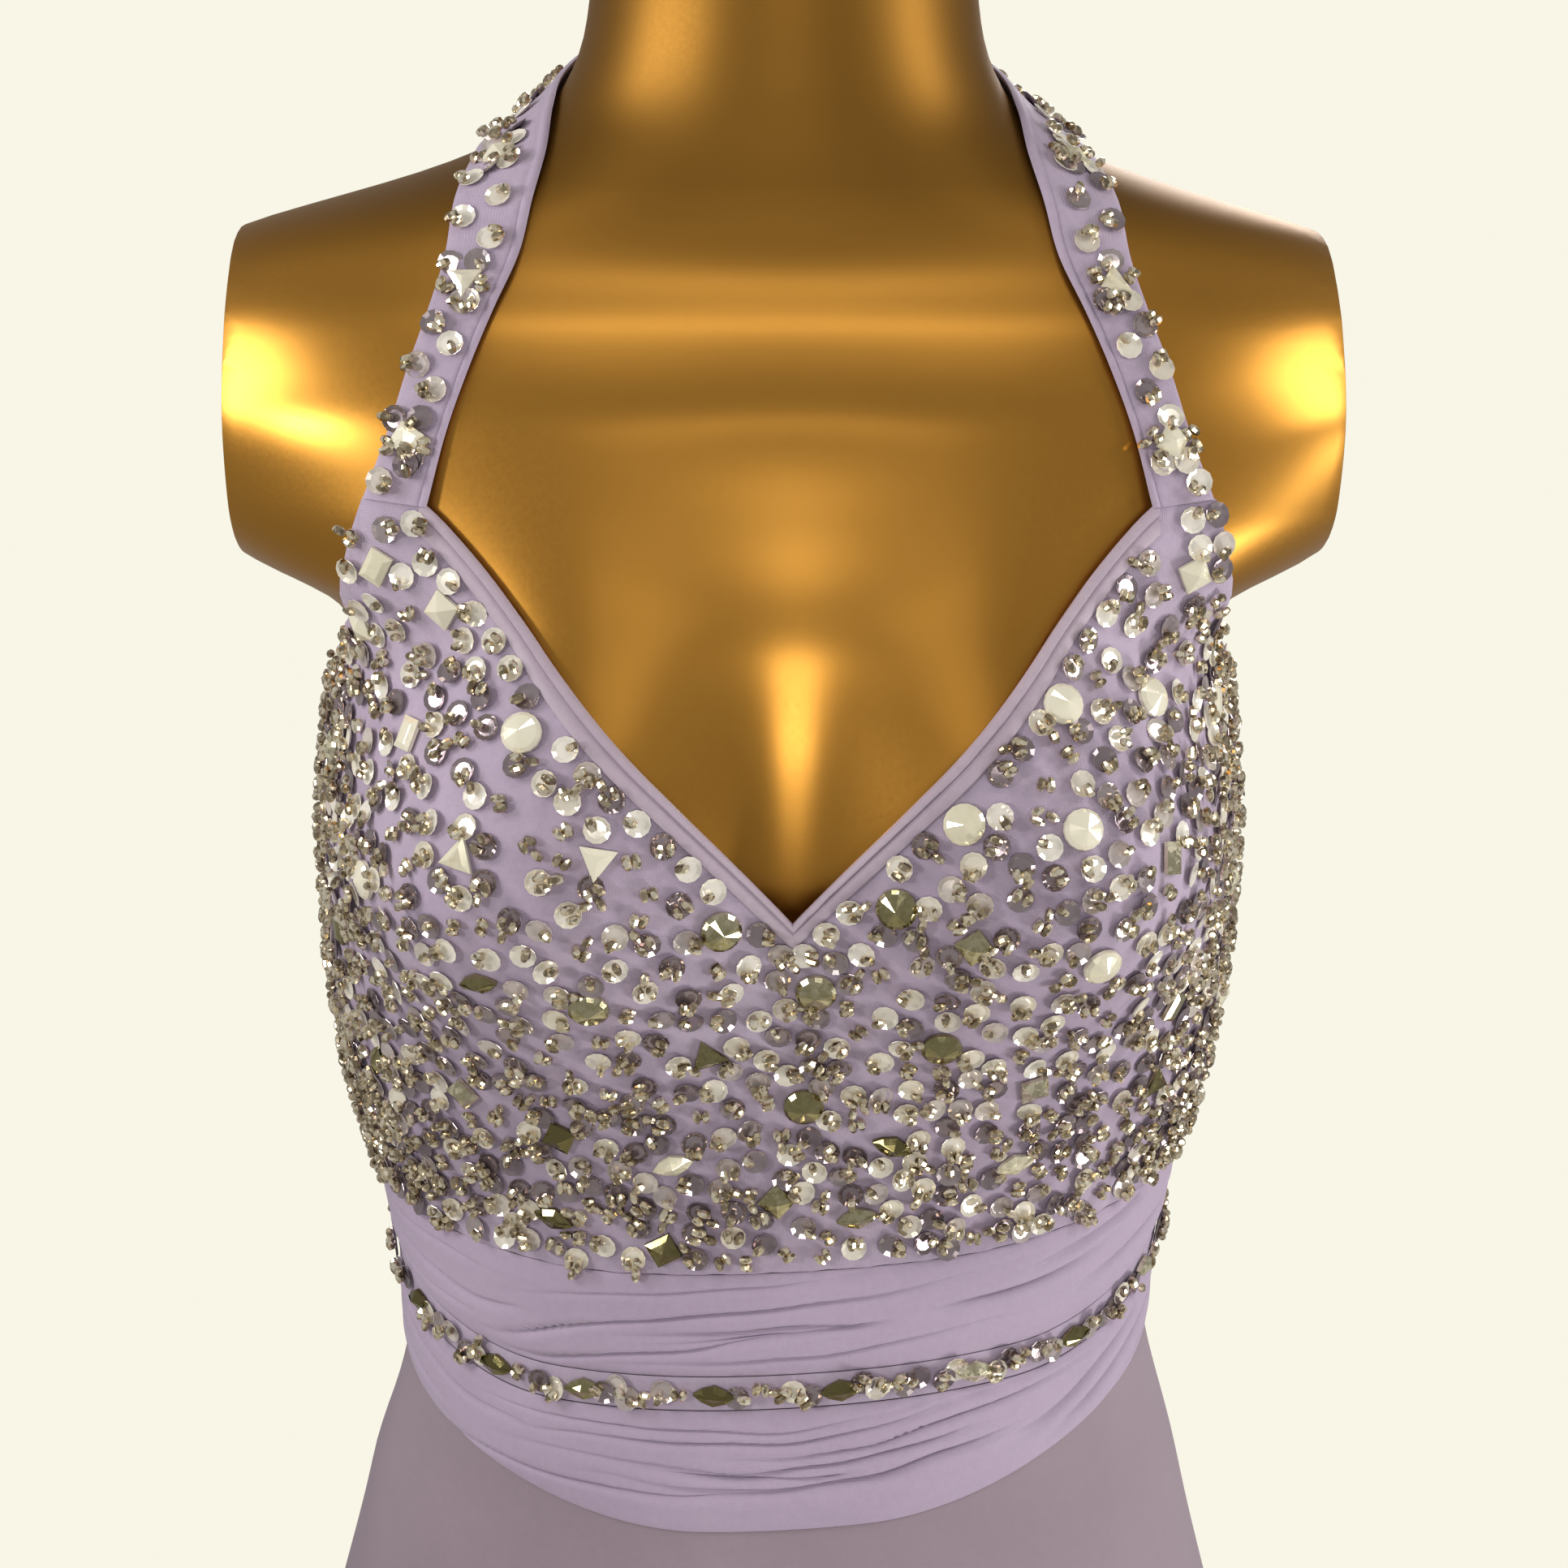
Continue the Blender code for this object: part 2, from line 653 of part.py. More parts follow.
def halter_strap(name, sign, lap_lift, material):
    """A band that stands a little off the form, from the bodice to just past the centre back."""
    stations = [strap_points(station, sign, lap_lift) for station in STRAP_STATIONS]
    lines = [spline_through([station[k] for station in stations], STRAP_STEPS) for k in (0, 1, 2)]
    under = [list(points) for points in zip(*lines)]
    top = []
    for i, row in enumerate(under):
        ahead, behind = under[min(i + 1, len(under) - 1)], under[max(i - 1, 0)]
        along = ahead[1] - behind[1]
        normal = (row[2] - row[0]).cross(along).normalized() * sign
        top.append([point + normal * STRAP_WALL for point in row])
    shape, top_faces = wall_shape(top, under)
    for row in STRAP_STONE_ROWS:
        raise_stone(shape, top_faces[row][row % 2])
    return finish_mesh(name, shape, material)


def turned(name, profile, steps, location, material):
    """A turned piece: its profile runs down the outer side, from the axis to the axis."""
    mesh = bpy.data.meshes.new(name)
    edges = [(i, i + 1) for i in range(len(profile) - 1)]
    mesh.from_pydata([(x, 0.0, z) for x, z in profile], edges, [])
    made = new_object(name, mesh, material)
    made.location = location
    screw = made.modifiers.new("turn", "SCREW")
    screw.steps = screw.render_steps = steps
    screw.use_merge_vertices = True
    screw.merge_threshold = 0.00005
    screw.use_smooth_shade = True
    return made


def neck_button(material):
    """The small covered button that closes the halter behind the neck."""
    high, middle, low = strap_points(STRAP_STATIONS[-2], 1, STRAP_LAP_LIFT)
    lean = math.atan2(low.y - high.y, high.z - low.z)
    outward = Vector((0.0, math.cos(lean), math.sin(lean)))
    profile = [(0.0, BUTTON_HEIGHT)]
    for step in (1, 2, 3):
        turn = math.radians(30 * step)
        dome = BUTTON_HEIGHT * (0.4 + 0.6 * math.cos(turn))
        profile.append((BUTTON_RADIUS * math.sin(turn), dome))
    profile += [(BUTTON_RADIUS * 0.8, 0.0), (0.0, 0.0)]
    button = turned(
        "neck_button", profile, 16, middle + outward * (STRAP_WALL + SEAM_GAP * 2), material
    )
    button.rotation_euler = (lean - math.pi / 2, 0, 0)


def form_torso(material):
    """The limbless form: lofted sections, then cut flat at the two arm plates."""
    shape = bmesh.new()
    rings = []
    for height in FORM_HEIGHTS:
        ring = []
        for column in range(FORM_COLUMNS):
            angle = 360 * column / FORM_COLUMNS
            radius = body_radius(angle, height, FORM_VALLEY)
            ring.append(shape.verts.new(place(angle, radius, height)))
        rings.append(ring)
    for low, high in zip(rings, rings[1:]):
        for c in range(FORM_COLUMNS):
            after = (c + 1) % FORM_COLUMNS
            shape.faces.new((low[c], low[after], high[after], high[c]))
    shape.faces.new(reversed(rings[0]))
    shape.faces.new(rings[-1])
    for side in (-1, 1):
        cut = bmesh.ops.bisect_plane(
            shape,
            geom=shape.verts[:] + shape.edges[:] + shape.faces[:],
            plane_co=(side * ARM_PLATE_X, 0, 0),
            plane_no=(side, 0, 0),
            clear_outer=True,
        )
        rim = [e for e in cut["geom_cut"] if isinstance(e, bmesh.types.BMEdge)]
        bmesh.ops.contextual_create(shape, geom=rim)
    bmesh.ops.recalc_face_normals(shape, faces=shape.faces)
    finish_mesh("form_torso", shape, material)


def stand(metal):
    """The pole, its flange under the form, and the round base on the floor."""
    flange_bottom = FORM_BOTTOM - SEAM_GAP - FLANGE_THICKNESS
    collar_bottom = BASE_THICKNESS + SEAM_GAP
    pole_bottom = collar_bottom + COLLAR_HEIGHT + SEAM_GAP
    flange = [
        (0, FLANGE_THICKNESS),
        (FLANGE_RADIUS, FLANGE_THICKNESS),
        (FLANGE_RADIUS, EDGE_ROUND),
        (FLANGE_RADIUS - EDGE_ROUND, 0),
        (0, 0),
    ]
    turned("form_flange", flange, 32, (0, 0, flange_bottom), metal)
    length = flange_bottom - SEAM_GAP - pole_bottom
    bpy.ops.mesh.primitive_cylinder_add(
        vertices=24, radius=POLE_RADIUS, depth=length, location=(0, 0, pole_bottom + length / 2)
    )
    adopt("stand_pole", bpy.context.object, metal)
    collar = [
        (0, COLLAR_HEIGHT),
        (POLE_RADIUS + EDGE_ROUND, COLLAR_HEIGHT),
        (POLE_RADIUS + 3 * EDGE_ROUND, COLLAR_HEIGHT - EDGE_ROUND),
        (COLLAR_RADIUS, EDGE_ROUND),
        (COLLAR_RADIUS, 0),
        (0, 0),
    ]
    turned("stand_collar", collar, 32, (0, 0, collar_bottom), metal)
    base = [
        (0, BASE_THICKNESS),
        (BASE_RADIUS - 4 * EDGE_ROUND, BASE_THICKNESS),
        (BASE_RADIUS - EDGE_ROUND, BASE_THICKNESS - EDGE_ROUND),
        (BASE_RADIUS, BASE_THICKNESS - 3 * EDGE_ROUND),
        (BASE_RADIUS, EDGE_ROUND),
        (BASE_RADIUS - EDGE_ROUND, 0),
        (0, 0),
    ]
    turned("stand_base", base, 48, (0, 0, 0), metal)


def box_piece(name, size, centre):
    bpy.ops.mesh.primitive_cube_add(size=1, location=centre)
    made = bpy.context.object
    made.name = name
    made.scale = size
    bpy.ops.object.transform_apply(location=False, rotation=False, scale=True)
    return made


def rod_piece(name, radius, length, centre):
    """A short rod along X."""
    bpy.ops.mesh.primitive_cylinder_add(
        vertices=16, radius=radius, depth=length, location=centre, rotation=(0, math.pi / 2, 0)
    )
    made = bpy.context.object
    made.name = name
    return made


def combine(base, other, operation):
    """A Boolean modifier, with its second operand kept aside in the cutters collection."""
    for used in list(other.users_collection):
        used.objects.unlink(other)
    CUTTERS.objects.link(other)
    other.hide_render = True
    other.display_type = "WIRE"
    step = base.modifiers.new(other.name, "BOOLEAN")
    step.operation = operation
    step.object = other


def zip_pin_place():
    """The slider stands just off the cloth, at the end where the back slopes outward most."""
    height = bodice_edge(CENTRE_BACK) - ZIP_TOP_DROP
    surface = body_radius(CENTRE_BACK, height + ZIP_SLIDER.z / 2) + BODICE_EASE + BODICE_WALL
    return Vector((0.0, surface + SEAM_GAP + ZIP_SLIDER.y + ZIP_PIN_REACH, height))


def zip_slider(metal):
    """The slider rides on the seam. Two lugs on its back carry the pin of the pull."""
    pin = zip_pin_place()
    slider = box_piece(
        "zip_slider", ZIP_SLIDER, pin - Vector((0, ZIP_PIN_REACH + ZIP_SLIDER.y / 2, 0))
    )
    adopt("zip_slider", slider, metal)
    lug_x = ZIP_PULL_HALF_WIDTH + SEAM_GAP + ZIP_LUG.x / 2
    lug_y = (ZIP_LUG.z - ZIP_LUG.y) / 2
    for side in (-1, 1):
        lug = box_piece("zip_lug", ZIP_LUG, pin + Vector((side * lug_x, lug_y, 0)))
        combine(slider, lug, "UNION")
    combine(slider, rod_piece("zip_pin", ZIP_PIN_RADIUS, 2 * lug_x, pin), "UNION")


def zip_pull(metal):
    """A tapered tab under a barrel that turns on the slider's pin. Its origin is on the pin."""
    pin = zip_pin_place()
    barrel = rod_piece("zip_pull", ZIP_BARREL_RADIUS, 2 * ZIP_PULL_HALF_WIDTH, pin)
    adopt("zip_pull", barrel, metal)
    size = Vector((ZIP_TAB_WIDTH, ZIP_PULL_THICKNESS, ZIP_PULL_LENGTH))
    tab = box_piece("zip_tab", size, pin - Vector((0, 0, ZIP_EYE_RADIUS + ZIP_PULL_LENGTH / 2)))
    for corner in tab.data.vertices:
        if corner.co.z < 0:
            corner.co.x *= ZIP_PULL_TAPER
    combine(barrel, tab, "UNION")
    combine(barrel, rod_piece("zip_eye", ZIP_EYE_RADIUS, 4 * ZIP_PULL_HALF_WIDTH, pin), "DIFFERENCE")


def principled(name, colour, roughness, metallic=0.0):
    material = bpy.data.materials.new(name)
    material.use_nodes = True
    shader = material.node_tree.nodes["Principled BSDF"]
    shader.inputs["Base Color"].default_value = (*colour, 1.0)
    shader.inputs["Roughness"].default_value = roughness
    shader.inputs["Metallic"].default_value = metallic
    return material


for old in list(bpy.data.objects):
    bpy.data.objects.remove(old)
DRESS = bpy.data.collections.new("halter_evening_dress")
CUTTERS = bpy.data.collections.new("cutters")
for collection in (DRESS, CUTTERS):
    bpy.context.scene.collection.children.link(collection)

beaded_cloth = principled("beaded_lilac", (0.52, 0.44, 0.56), 0.45)
lilac_satin = principled("lilac_satin", (0.55, 0.46, 0.60), 0.5)
lilac_chiffon = principled("lilac_chiffon", (0.50, 0.42, 0.53), 0.75)
gold_paint = principled("gold_paint", (0.62, 0.38, 0.10), 0.35, 0.9)
steel = principled("brushed_steel", (0.60, 0.60, 0.61), 0.3, 1.0)

form_torso(gold_paint)
stand(steel)
bodice(beaded_cloth)
neckline_binding(lilac_satin)
halter_strap("halter_strap_left", 1, STRAP_LAP_LIFT, beaded_cloth)
halter_strap("halter_strap_right", -1, 0.0, beaded_cloth)
neck_button(lilac_satin)
band("upper_ruched_band", UPPER_BAND_ROWS, (TRIM_TOP_SEAM, UNDERBUST_SEAM), UPPER_PLEATS, lilac_chiffon)
band("beaded_waistband", 2, (TRIM_BOTTOM_SEAM, TRIM_TOP_SEAM), [], beaded_cloth, TRIM_STONE_ANGLES)
band("lower_ruched_band", LOWER_BAND_ROWS, (SKIRT_SEAM, TRIM_BOTTOM_SEAM), LOWER_PLEATS, lilac_chiffon)
skirt(lilac_chiffon)
zip_slider(steel)
zip_pull(steel)
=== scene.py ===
"""Long beaded halter evening dress in lilac, worn by a gold dress form on a pole stand.

Metres, +Z up, the origin on the floor under the pole. The front faces -Y. Angles go round the
body in degrees: 0 is the centre front, +90 the wearer's left side and 180 the centre back.
"""

import math
import random

import bmesh
import bpy
from mathutils import Matrix, Vector


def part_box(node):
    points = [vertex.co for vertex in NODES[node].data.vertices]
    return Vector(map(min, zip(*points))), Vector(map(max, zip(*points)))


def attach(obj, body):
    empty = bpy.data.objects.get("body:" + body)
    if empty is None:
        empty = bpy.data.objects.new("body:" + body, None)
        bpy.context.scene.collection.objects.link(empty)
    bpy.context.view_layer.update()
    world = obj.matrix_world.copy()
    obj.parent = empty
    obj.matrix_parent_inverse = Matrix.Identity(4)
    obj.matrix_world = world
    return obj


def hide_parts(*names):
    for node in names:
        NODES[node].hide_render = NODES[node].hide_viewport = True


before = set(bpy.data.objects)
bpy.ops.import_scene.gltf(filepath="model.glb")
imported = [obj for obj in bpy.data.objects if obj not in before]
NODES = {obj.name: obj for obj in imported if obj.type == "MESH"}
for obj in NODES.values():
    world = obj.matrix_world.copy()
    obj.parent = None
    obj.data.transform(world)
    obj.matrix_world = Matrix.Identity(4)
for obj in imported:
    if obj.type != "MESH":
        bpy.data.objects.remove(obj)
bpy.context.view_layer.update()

# The body under the cloth: height, half width, front, back, squareness
SECTIONS = [
    (0.800, 0.128, 0.085, 0.096, 2.20),
    (0.840, 0.146, 0.099, 0.110, 2.20),
    (0.880, 0.153, 0.104, 0.117, 2.20),
    (0.930, 0.142, 0.103, 0.112, 2.20),
    (0.980, 0.1275, 0.098, 0.099, 2.20),
    (1.020, 0.1195, 0.093, 0.087, 2.20),
    (1.060, 0.1205, 0.089, 0.079, 2.20),
    (1.100, 0.1260, 0.089, 0.077, 2.20),
    (1.140, 0.1350, 0.092, 0.082, 2.25),
    (1.180, 0.1385, 0.096, 0.089, 2.30),
    (1.215, 0.1385, 0.098, 0.094, 2.30),
    (1.250, 0.1355, 0.097, 0.098, 2.30),
    (1.275, 0.1310, 0.095, 0.101, 2.30),
    (1.286, 0.1370, 0.094, 0.102, 2.25),
    (1.300, 0.166, 0.0915, 0.103, 2.20),
    (1.320, 0.190, 0.089, 0.104, 2.20),
    (1.345, 0.200, 0.0855, 0.103, 2.20),
    (1.370, 0.192, 0.0745, 0.099, 2.20),
    (1.385, 0.180, 0.0640, 0.094, 2.15),
    (1.394, 0.1660, 0.0600, 0.089, 2.10),
    (1.403, 0.136, 0.0577, 0.084, 2.05),
    (1.411, 0.1080, 0.0562, 0.079, 2.00),
    (1.419, 0.0870, 0.0551, 0.074, 2.00),
    (1.427, 0.0730, 0.0545, 0.070, 2.00),
    (1.437, 0.0645, 0.0540, 0.066, 2.00),
    (1.450, 0.0590, 0.0540, 0.062, 2.00),
    (1.470, 0.0565, 0.0550, 0.058, 2.00),
    (1.490, 0.0560, 0.0560, 0.056, 2.00),
]
FORM_BOTTOM = 0.800
NECK_TOP = 1.490
ARM_PLATE_X = 0.161
CUP_HEIGHT, CUP_ANGLE, CUP_SPREAD = 1.218, 36.0, 24.0
CUP_DEPTH, CUP_RISE, CUP_FALL = 0.034, 0.070, 0.052
FORM_VALLEY, CLOTH_VALLEY = 0.92, 0.58

# Cloth of the solids: ease over the form, walls, and how the straps lie
BODICE_REACH = 0.0035
BODICE_INSET, BODICE_PULL = 0.0004, 0.00035
UNDERARM_EASE = 0.0030
BAND_REACH = 0.0028
SKIRT_WALL = 0.0012
STRAP_WALL = 0.0018
STRAP_STANDOFF = 0.0014
STRAP_OVERLAP = 0.0007
STRAP_TUCK = 0.0015
STRAP_LAP = STRAP_WALL + 0.0005
SEAM_GAP = 0.0003

# Walls of the visible sheets
BODICE_WALL = 0.0010
BINDING_WALL = 0.0004
BAND_SHEET_WALL = 0.0006
SKIRT_SHEET_WALL = 0.0008
STRAP_SHEET_WALL = 0.0009

# Hem of the skirt
HEM_HEIGHT, HEM_HALF_WIDTH, HEM_FRONT, HEM_BACK = 0.030, 0.385, 0.330, 0.370

# Seams round the body: height at the centre front, rise to the sides, where the rise starts
UNDERBUST_SEAM = (1.0960, 0.0110, 30.0)
TRIM_TOP_SEAM = (1.0625, 0.0235, 42.0)
TRIM_BOTTOM_SEAM = (1.0515, 0.0235, 42.0)
SKIRT_SEAM = (1.0130, 0.0310, 15.0)
SEAM_SKEW = 0.0042

V_EDGE = [(0.0, 1.2115), (17.0, 1.2490), (34.0, 1.2850), (50.7, 1.3230), (56.5, 1.3250)]
SIDE_EDGE = [
    (56.5, 1.3250), (57.8, 1.3140), (60.0, 1.3010), (64.0, 1.2900), (71.0, 1.2800), (80.0, 1.2700),
    (90.0, 1.2580), (105.0, 1.2330), (125.0, 1.1920), (150.0, 1.1520), (180.0, 1.1360),
]
PANELS = [("front", -90.0, 90.0), ("back_left", 90.0, 180.0), ("back_right", -180.0, -90.0)]

# The halter strap: its neck-side edge and its arm-side edge, as angle and height
STRAP_STATIONS = [
    (50.7, 1.3234, 56.5, 1.3254), (50.0, 1.3430, 55.8, 1.3430), (50.0, 1.3600, 56.2, 1.3600),
    (51.0, 1.3750, 57.7, 1.3745), (52.8, 1.3900, 60.8, 1.3890), (55.5, 1.4045, 66.0, 1.4040),
    (61.5, 1.4180, 75.0, 1.4140), (74.0, 1.4300, 87.0, 1.4190), (95.0, 1.4400, 104.0, 1.4220),
    (122.0, 1.4510, 126.0, 1.4280), (148.0, 1.4585, 150.0, 1.4345),
    (166.0, 1.4605, 166.0, 1.4370), (180.0, 1.4610, 180.0, 1.4375),
    (191.0, 1.4600, 191.0, 1.4385),
]

# Skirt flutes: angle, half width, depth at the hem, where it begins
FLUTES = [
    (-170.0, 13.0, 0.034, 0.86), (-146.0, 11.0, 0.028, 0.90), (-122.0, 13.0, 0.036, 0.84),
    (-99.0, 10.0, 0.026, 0.92), (-77.0, 12.0, 0.032, 0.88), (-54.0, 11.0, 0.027, 0.80),
    (-33.0, 10.0, 0.030, 0.86), (-11.0, 11.0, 0.024, 0.76), (12.0, 12.0, 0.029, 0.82),
    (35.0, 11.0, 0.033, 0.92), (57.0, 10.0, 0.026, 0.84), (79.0, 12.0, 0.031, 0.90),
    (103.0, 12.0, 0.035, 0.86), (126.0, 11.0, 0.027, 0.82), (149.0, 12.0, 0.033, 0.92),
    (171.0, 9.0, 0.024, 0.84),
]

# Small soft folds of the skirt, between the flutes: angle, half width, depth, top, bottom
SOFT_FOLDS = [
    (-163.0, 3.2, 0.0022, 0.99, 0.32), (-151.0, 2.6, 0.0017, 1.01, 0.55),
    (-139.0, 3.6, 0.0026, 0.97, 0.20), (-128.0, 2.8, 0.0015, 1.02, 0.62),
    (-113.0, 3.0, 0.0024, 0.98, 0.30), (-104.0, 2.4, 0.0018, 1.00, 0.50),
    (-91.0, 3.4, 0.0025, 1.01, 0.24), (-83.0, 2.5, 0.0014, 0.96, 0.58),
    (-69.0, 2.8, 0.0018, 0.98, 0.36), (-61.0, 2.2, 0.0012, 0.95, 0.60),
    (-46.0, 3.0, 0.0013, 0.94, 0.28), (-38.0, 2.4, 0.0010, 0.92, 0.55),
    (-22.0, 3.2, 0.0014, 0.90, 0.22), (-4.0, 2.6, 0.0012, 0.88, 0.48),
    (5.0, 3.4, 0.0014, 0.91, 0.26), (24.0, 2.6, 0.0015, 0.96, 0.44),
    (43.0, 3.0, 0.0021, 1.00, 0.34), (52.0, 2.4, 0.0018, 0.99, 0.58),
    (66.0, 2.8, 0.0020, 0.99, 0.30), (72.0, 2.2, 0.0014, 0.96, 0.52),
    (88.0, 3.2, 0.0024, 1.00, 0.26), (96.0, 2.6, 0.0016, 0.98, 0.60),
    (111.0, 3.4, 0.0025, 1.01, 0.32), (118.0, 2.4, 0.0015, 0.97, 0.46),
    (133.0, 3.0, 0.0023, 0.99, 0.22), (141.0, 2.6, 0.0016, 1.00, 0.57),
    (157.0, 3.2, 0.0024, 0.98, 0.28), (165.0, 2.4, 0.0014, 1.01, 0.50),
]

# Creases of the two bands: depth, half height of the crease, angle where it is deepest, and its
# line as angle and share of the band's height. Between them the cloth lies in smooth flat pleats
UPPER_CREASES = [
    (0.0009, 0.018, -20.0, [(-50, 0.62), (-38, 0.76), (-18, 0.85), (6, 0.92), (20, 1.02)]),
    (0.0019, 0.022, -38.0, [
        (-52, 0.16), (-39, 0.44), (-27, 0.57), (-9, 0.66), (4, 0.70), (22, 0.76), (40, 0.86), (56, 0.84),
    ]),
    (0.0022, 0.026, 8.0, [(-34, 0.38), (-10, 0.47), (3, 0.50), (17, 0.46)]),
    (0.0010, 0.018, -4.0, [(-26, 0.30), (-8, 0.40), (12, 0.44)]),
    (0.0020, 0.022, -40.0, [(-47, 0.06), (-34, 0.20), (-16, 0.30), (0, 0.40), (12, 0.45)]),
    (0.0011, 0.019, 2.0, [(-34, 0.10), (-12, 0.16), (6, 0.19), (18, 0.24), (35, 0.32), (48, 0.28)]),
    (0.0021, 0.030, 42.0, [(26, 0.50), (36, 0.58), (52, 0.62), (60, 0.72)]),
    (0.0024, 0.045, 62.0, [(40, 0.66), (52, 0.80), (66, 0.92)]),
    (0.0023, 0.040, 68.0, [(50, 0.30), (62, 0.44), (76, 0.52), (92, 0.58)]),
    (0.0018, 0.026, 84.0, [(66, 0.14), (80, 0.20), (104, 0.26), (130, 0.22)]),
    (0.0018, 0.028, 104.0, [(74, 0.78), (96, 0.80), (122, 0.72), (150, 0.76), (178, 0.80)]),
    (0.0020, 0.028, 132.0, [(98, 0.46), (126, 0.50), (156, 0.42), (179, 0.40)]),
    (0.0014, 0.022, 160.0, [(136, 0.20), (158, 0.16), (179, 0.22)]),
    (0.0021, 0.032, -62.0, [(-84, 0.40), (-70, 0.50), (-56, 0.44), (-48, 0.50)]),
    (0.0018, 0.026, -74.0, [(-100, 0.72), (-84, 0.76), (-66, 0.82), (-54, 0.78)]),
    (0.0015, 0.024, -70.0, [(-92, 0.14), (-72, 0.22), (-58, 0.26)]),
    (0.0020, 0.028, -122.0, [(-152, 0.56), (-126, 0.50), (-104, 0.44), (-90, 0.40)]),
    (0.0017, 0.026, -140.0, [(-179, 0.80), (-152, 0.76), (-128, 0.80), (-106, 0.74)]),
    (0.0016, 0.024, -158.0, [(-179, 0.26), (-156, 0.20), (-130, 0.26), (-108, 0.18)]),
    (0.0012, 0.020, -168.0, [(-179, 0.52), (-166, 0.54), (-154, 0.56)]),
]
LOWER_CREASES = [
    (0.0012, 0.016, -26.0, [(-56, 0.78), (-40, 0.86), (-22, 0.86), (0, 0.82), (16, 0.90), (34, 1.02)]),
    (0.0016, 0.018, -14.0, [
        (-48, 0.62), (-36, 0.74), (-20, 0.76), (0, 0.74), (18, 0.82), (34, 0.94), (48, 1.0),
    ]),
    (0.0020, 0.020, 24.0, [(-12, 0.60), (0, 0.61), (14, 0.66), (26, 0.76), (40, 0.84), (56, 0.88)]),
    (0.0021, 0.024, 20.0, [
        (-56, 0.34), (-44, 0.50), (-28, 0.56), (-8, 0.50), (6, 0.54), (20, 0.60), (34, 0.66),
    ]),
    (0.0014, 0.017, 2.0, [(-30, 0.50), (-16, 0.48), (0, 0.44), (12, 0.46)]),
    (0.0024, 0.030, 24.0, [
        (-46, 0.24), (-30, 0.40), (-10, 0.36), (4, 0.37), (16, 0.42), (28, 0.50), (42, 0.52),
    ]),
    (0.0018, 0.020, -46.0, [(-62, 0.02), (-48, 0.20), (-32, 0.30), (-12, 0.31), (2, 0.32)]),
    (0.0025, 0.050, 60.0, [(38, 0.36), (50, 0.48), (62, 0.70), (74, 0.86)]),
    (0.0026, 0.046, 66.0, [(46, 0.14), (58, 0.34), (70, 0.52), (84, 0.62), (98, 0.60)]),
    (0.0020, 0.030, 80.0, [(62, 0.06), (78, 0.24), (98, 0.32), (122, 0.28)]),
    (0.0019, 0.026, 118.0, [(90, 0.84), (114, 0.80), (142, 0.86), (168, 0.82)]),
    (0.0021, 0.030, 136.0, [(104, 0.56), (130, 0.62), (156, 0.54), (179, 0.60)]),
    (0.0018, 0.024, 152.0, [(122, 0.22), (146, 0.30), (168, 0.24), (179, 0.30)]),
    (0.0021, 0.032, -64.0, [(-86, 0.66), (-72, 0.70), (-58, 0.64), (-48, 0.66)]),
    (0.0019, 0.028, -76.0, [(-102, 0.34), (-84, 0.40), (-66, 0.30)]),
    (0.0016, 0.022, -80.0, [(-98, 0.88), (-80, 0.90), (-62, 0.86)]),
    (0.0020, 0.028, -116.0, [(-146, 0.60), (-122, 0.54), (-100, 0.58), (-86, 0.54)]),
    (0.0018, 0.026, -134.0, [(-170, 0.84), (-144, 0.80), (-118, 0.84)]),
    (0.0021, 0.030, -148.0, [(-179, 0.36), (-158, 0.30), (-132, 0.28), (-110, 0.20)]),
    (0.0013, 0.020, -166.0, [(-179, 0.62), (-166, 0.62), (-154, 0.60)]),
]

# Large sewn-on stones: kind, angle, height, turn in degrees
FRONT_STONES = [
    ("round", -34.0, 1.265, 10), ("round", 35.0, 1.272, 80), ("round", 49.0, 1.270, 20),
    ("round", 33.5, 1.240, 0), ("round", 21.0, 1.242, 35), ("round", 13.3, 1.218, 15),
    ("round", -9.6, 1.211, 50), ("round", 36.5, 1.200, 30), ("round", -26.0, 1.188, 70),
    ("round", 3.5, 1.191, 25), ("round", 21.5, 1.173, 60), ("round", 2.4, 1.152, 5),
    ("round", -55.0, 1.216, 40), ("round", 70.0, 1.205, 15), ("round", -72.0, 1.245, 55),
    ("baguette", -50.0, 1.260, 85), ("baguette", 45.0, 1.228, 80), ("baguette", 57.0, 1.173, 70),
    ("baguette", -55.0, 1.306, 60), ("baguette", 66.0, 1.262, 75), ("baguette", -70.0, 1.190, 95),
    ("triangle", -38.0, 1.232, 20), ("triangle", -23.5, 1.233, 200), ("navette", -37.5, 1.195, 10),
    ("pillow", 22.0, 1.208, 35), ("triangle", -12.5, 1.170, 170), ("pillow", -50.0, 1.149, 40),
    ("pillow", 37.0, 1.155, 15), ("pillow", -36.5, 1.139, 65), ("navette", -19.5, 1.132, 20),
    ("navette", 17.5, 1.138, -20), ("pillow", -2.0, 1.120, 50), ("navette", -40.0, 1.110, -15),
    ("navette", 12.5, 1.114, 10), ("pillow", -22.0, 1.103, 30), ("pillow", -62.0, 1.286, 10),
    ("pillow", -48.0, 1.295, 55), ("navette", 38.0, 1.128, 15), ("pillow", 54.5, 1.304, 25),
    ("triangle", 60.0, 1.145, 40), ("navette", -66.0, 1.150, 65), ("round", 80.0, 1.160, 0),
    ("navette", -82.0, 1.205, 80), ("pillow", 79.0, 1.228, 20),
]
BACK_STONES = [
    ("round", 104.0, 1.205, 10), ("navette", 97.0, 1.168, 75), ("pillow", 112.0, 1.150, 30),
    ("triangle", 126.0, 1.168, 20), ("round", 134.0, 1.140, 50), ("baguette", 146.0, 1.128, 80),
    ("navette", 158.0, 1.124, 15), ("pillow", 169.0, 1.118, 40), ("round", 119.0, 1.124, 25),
]
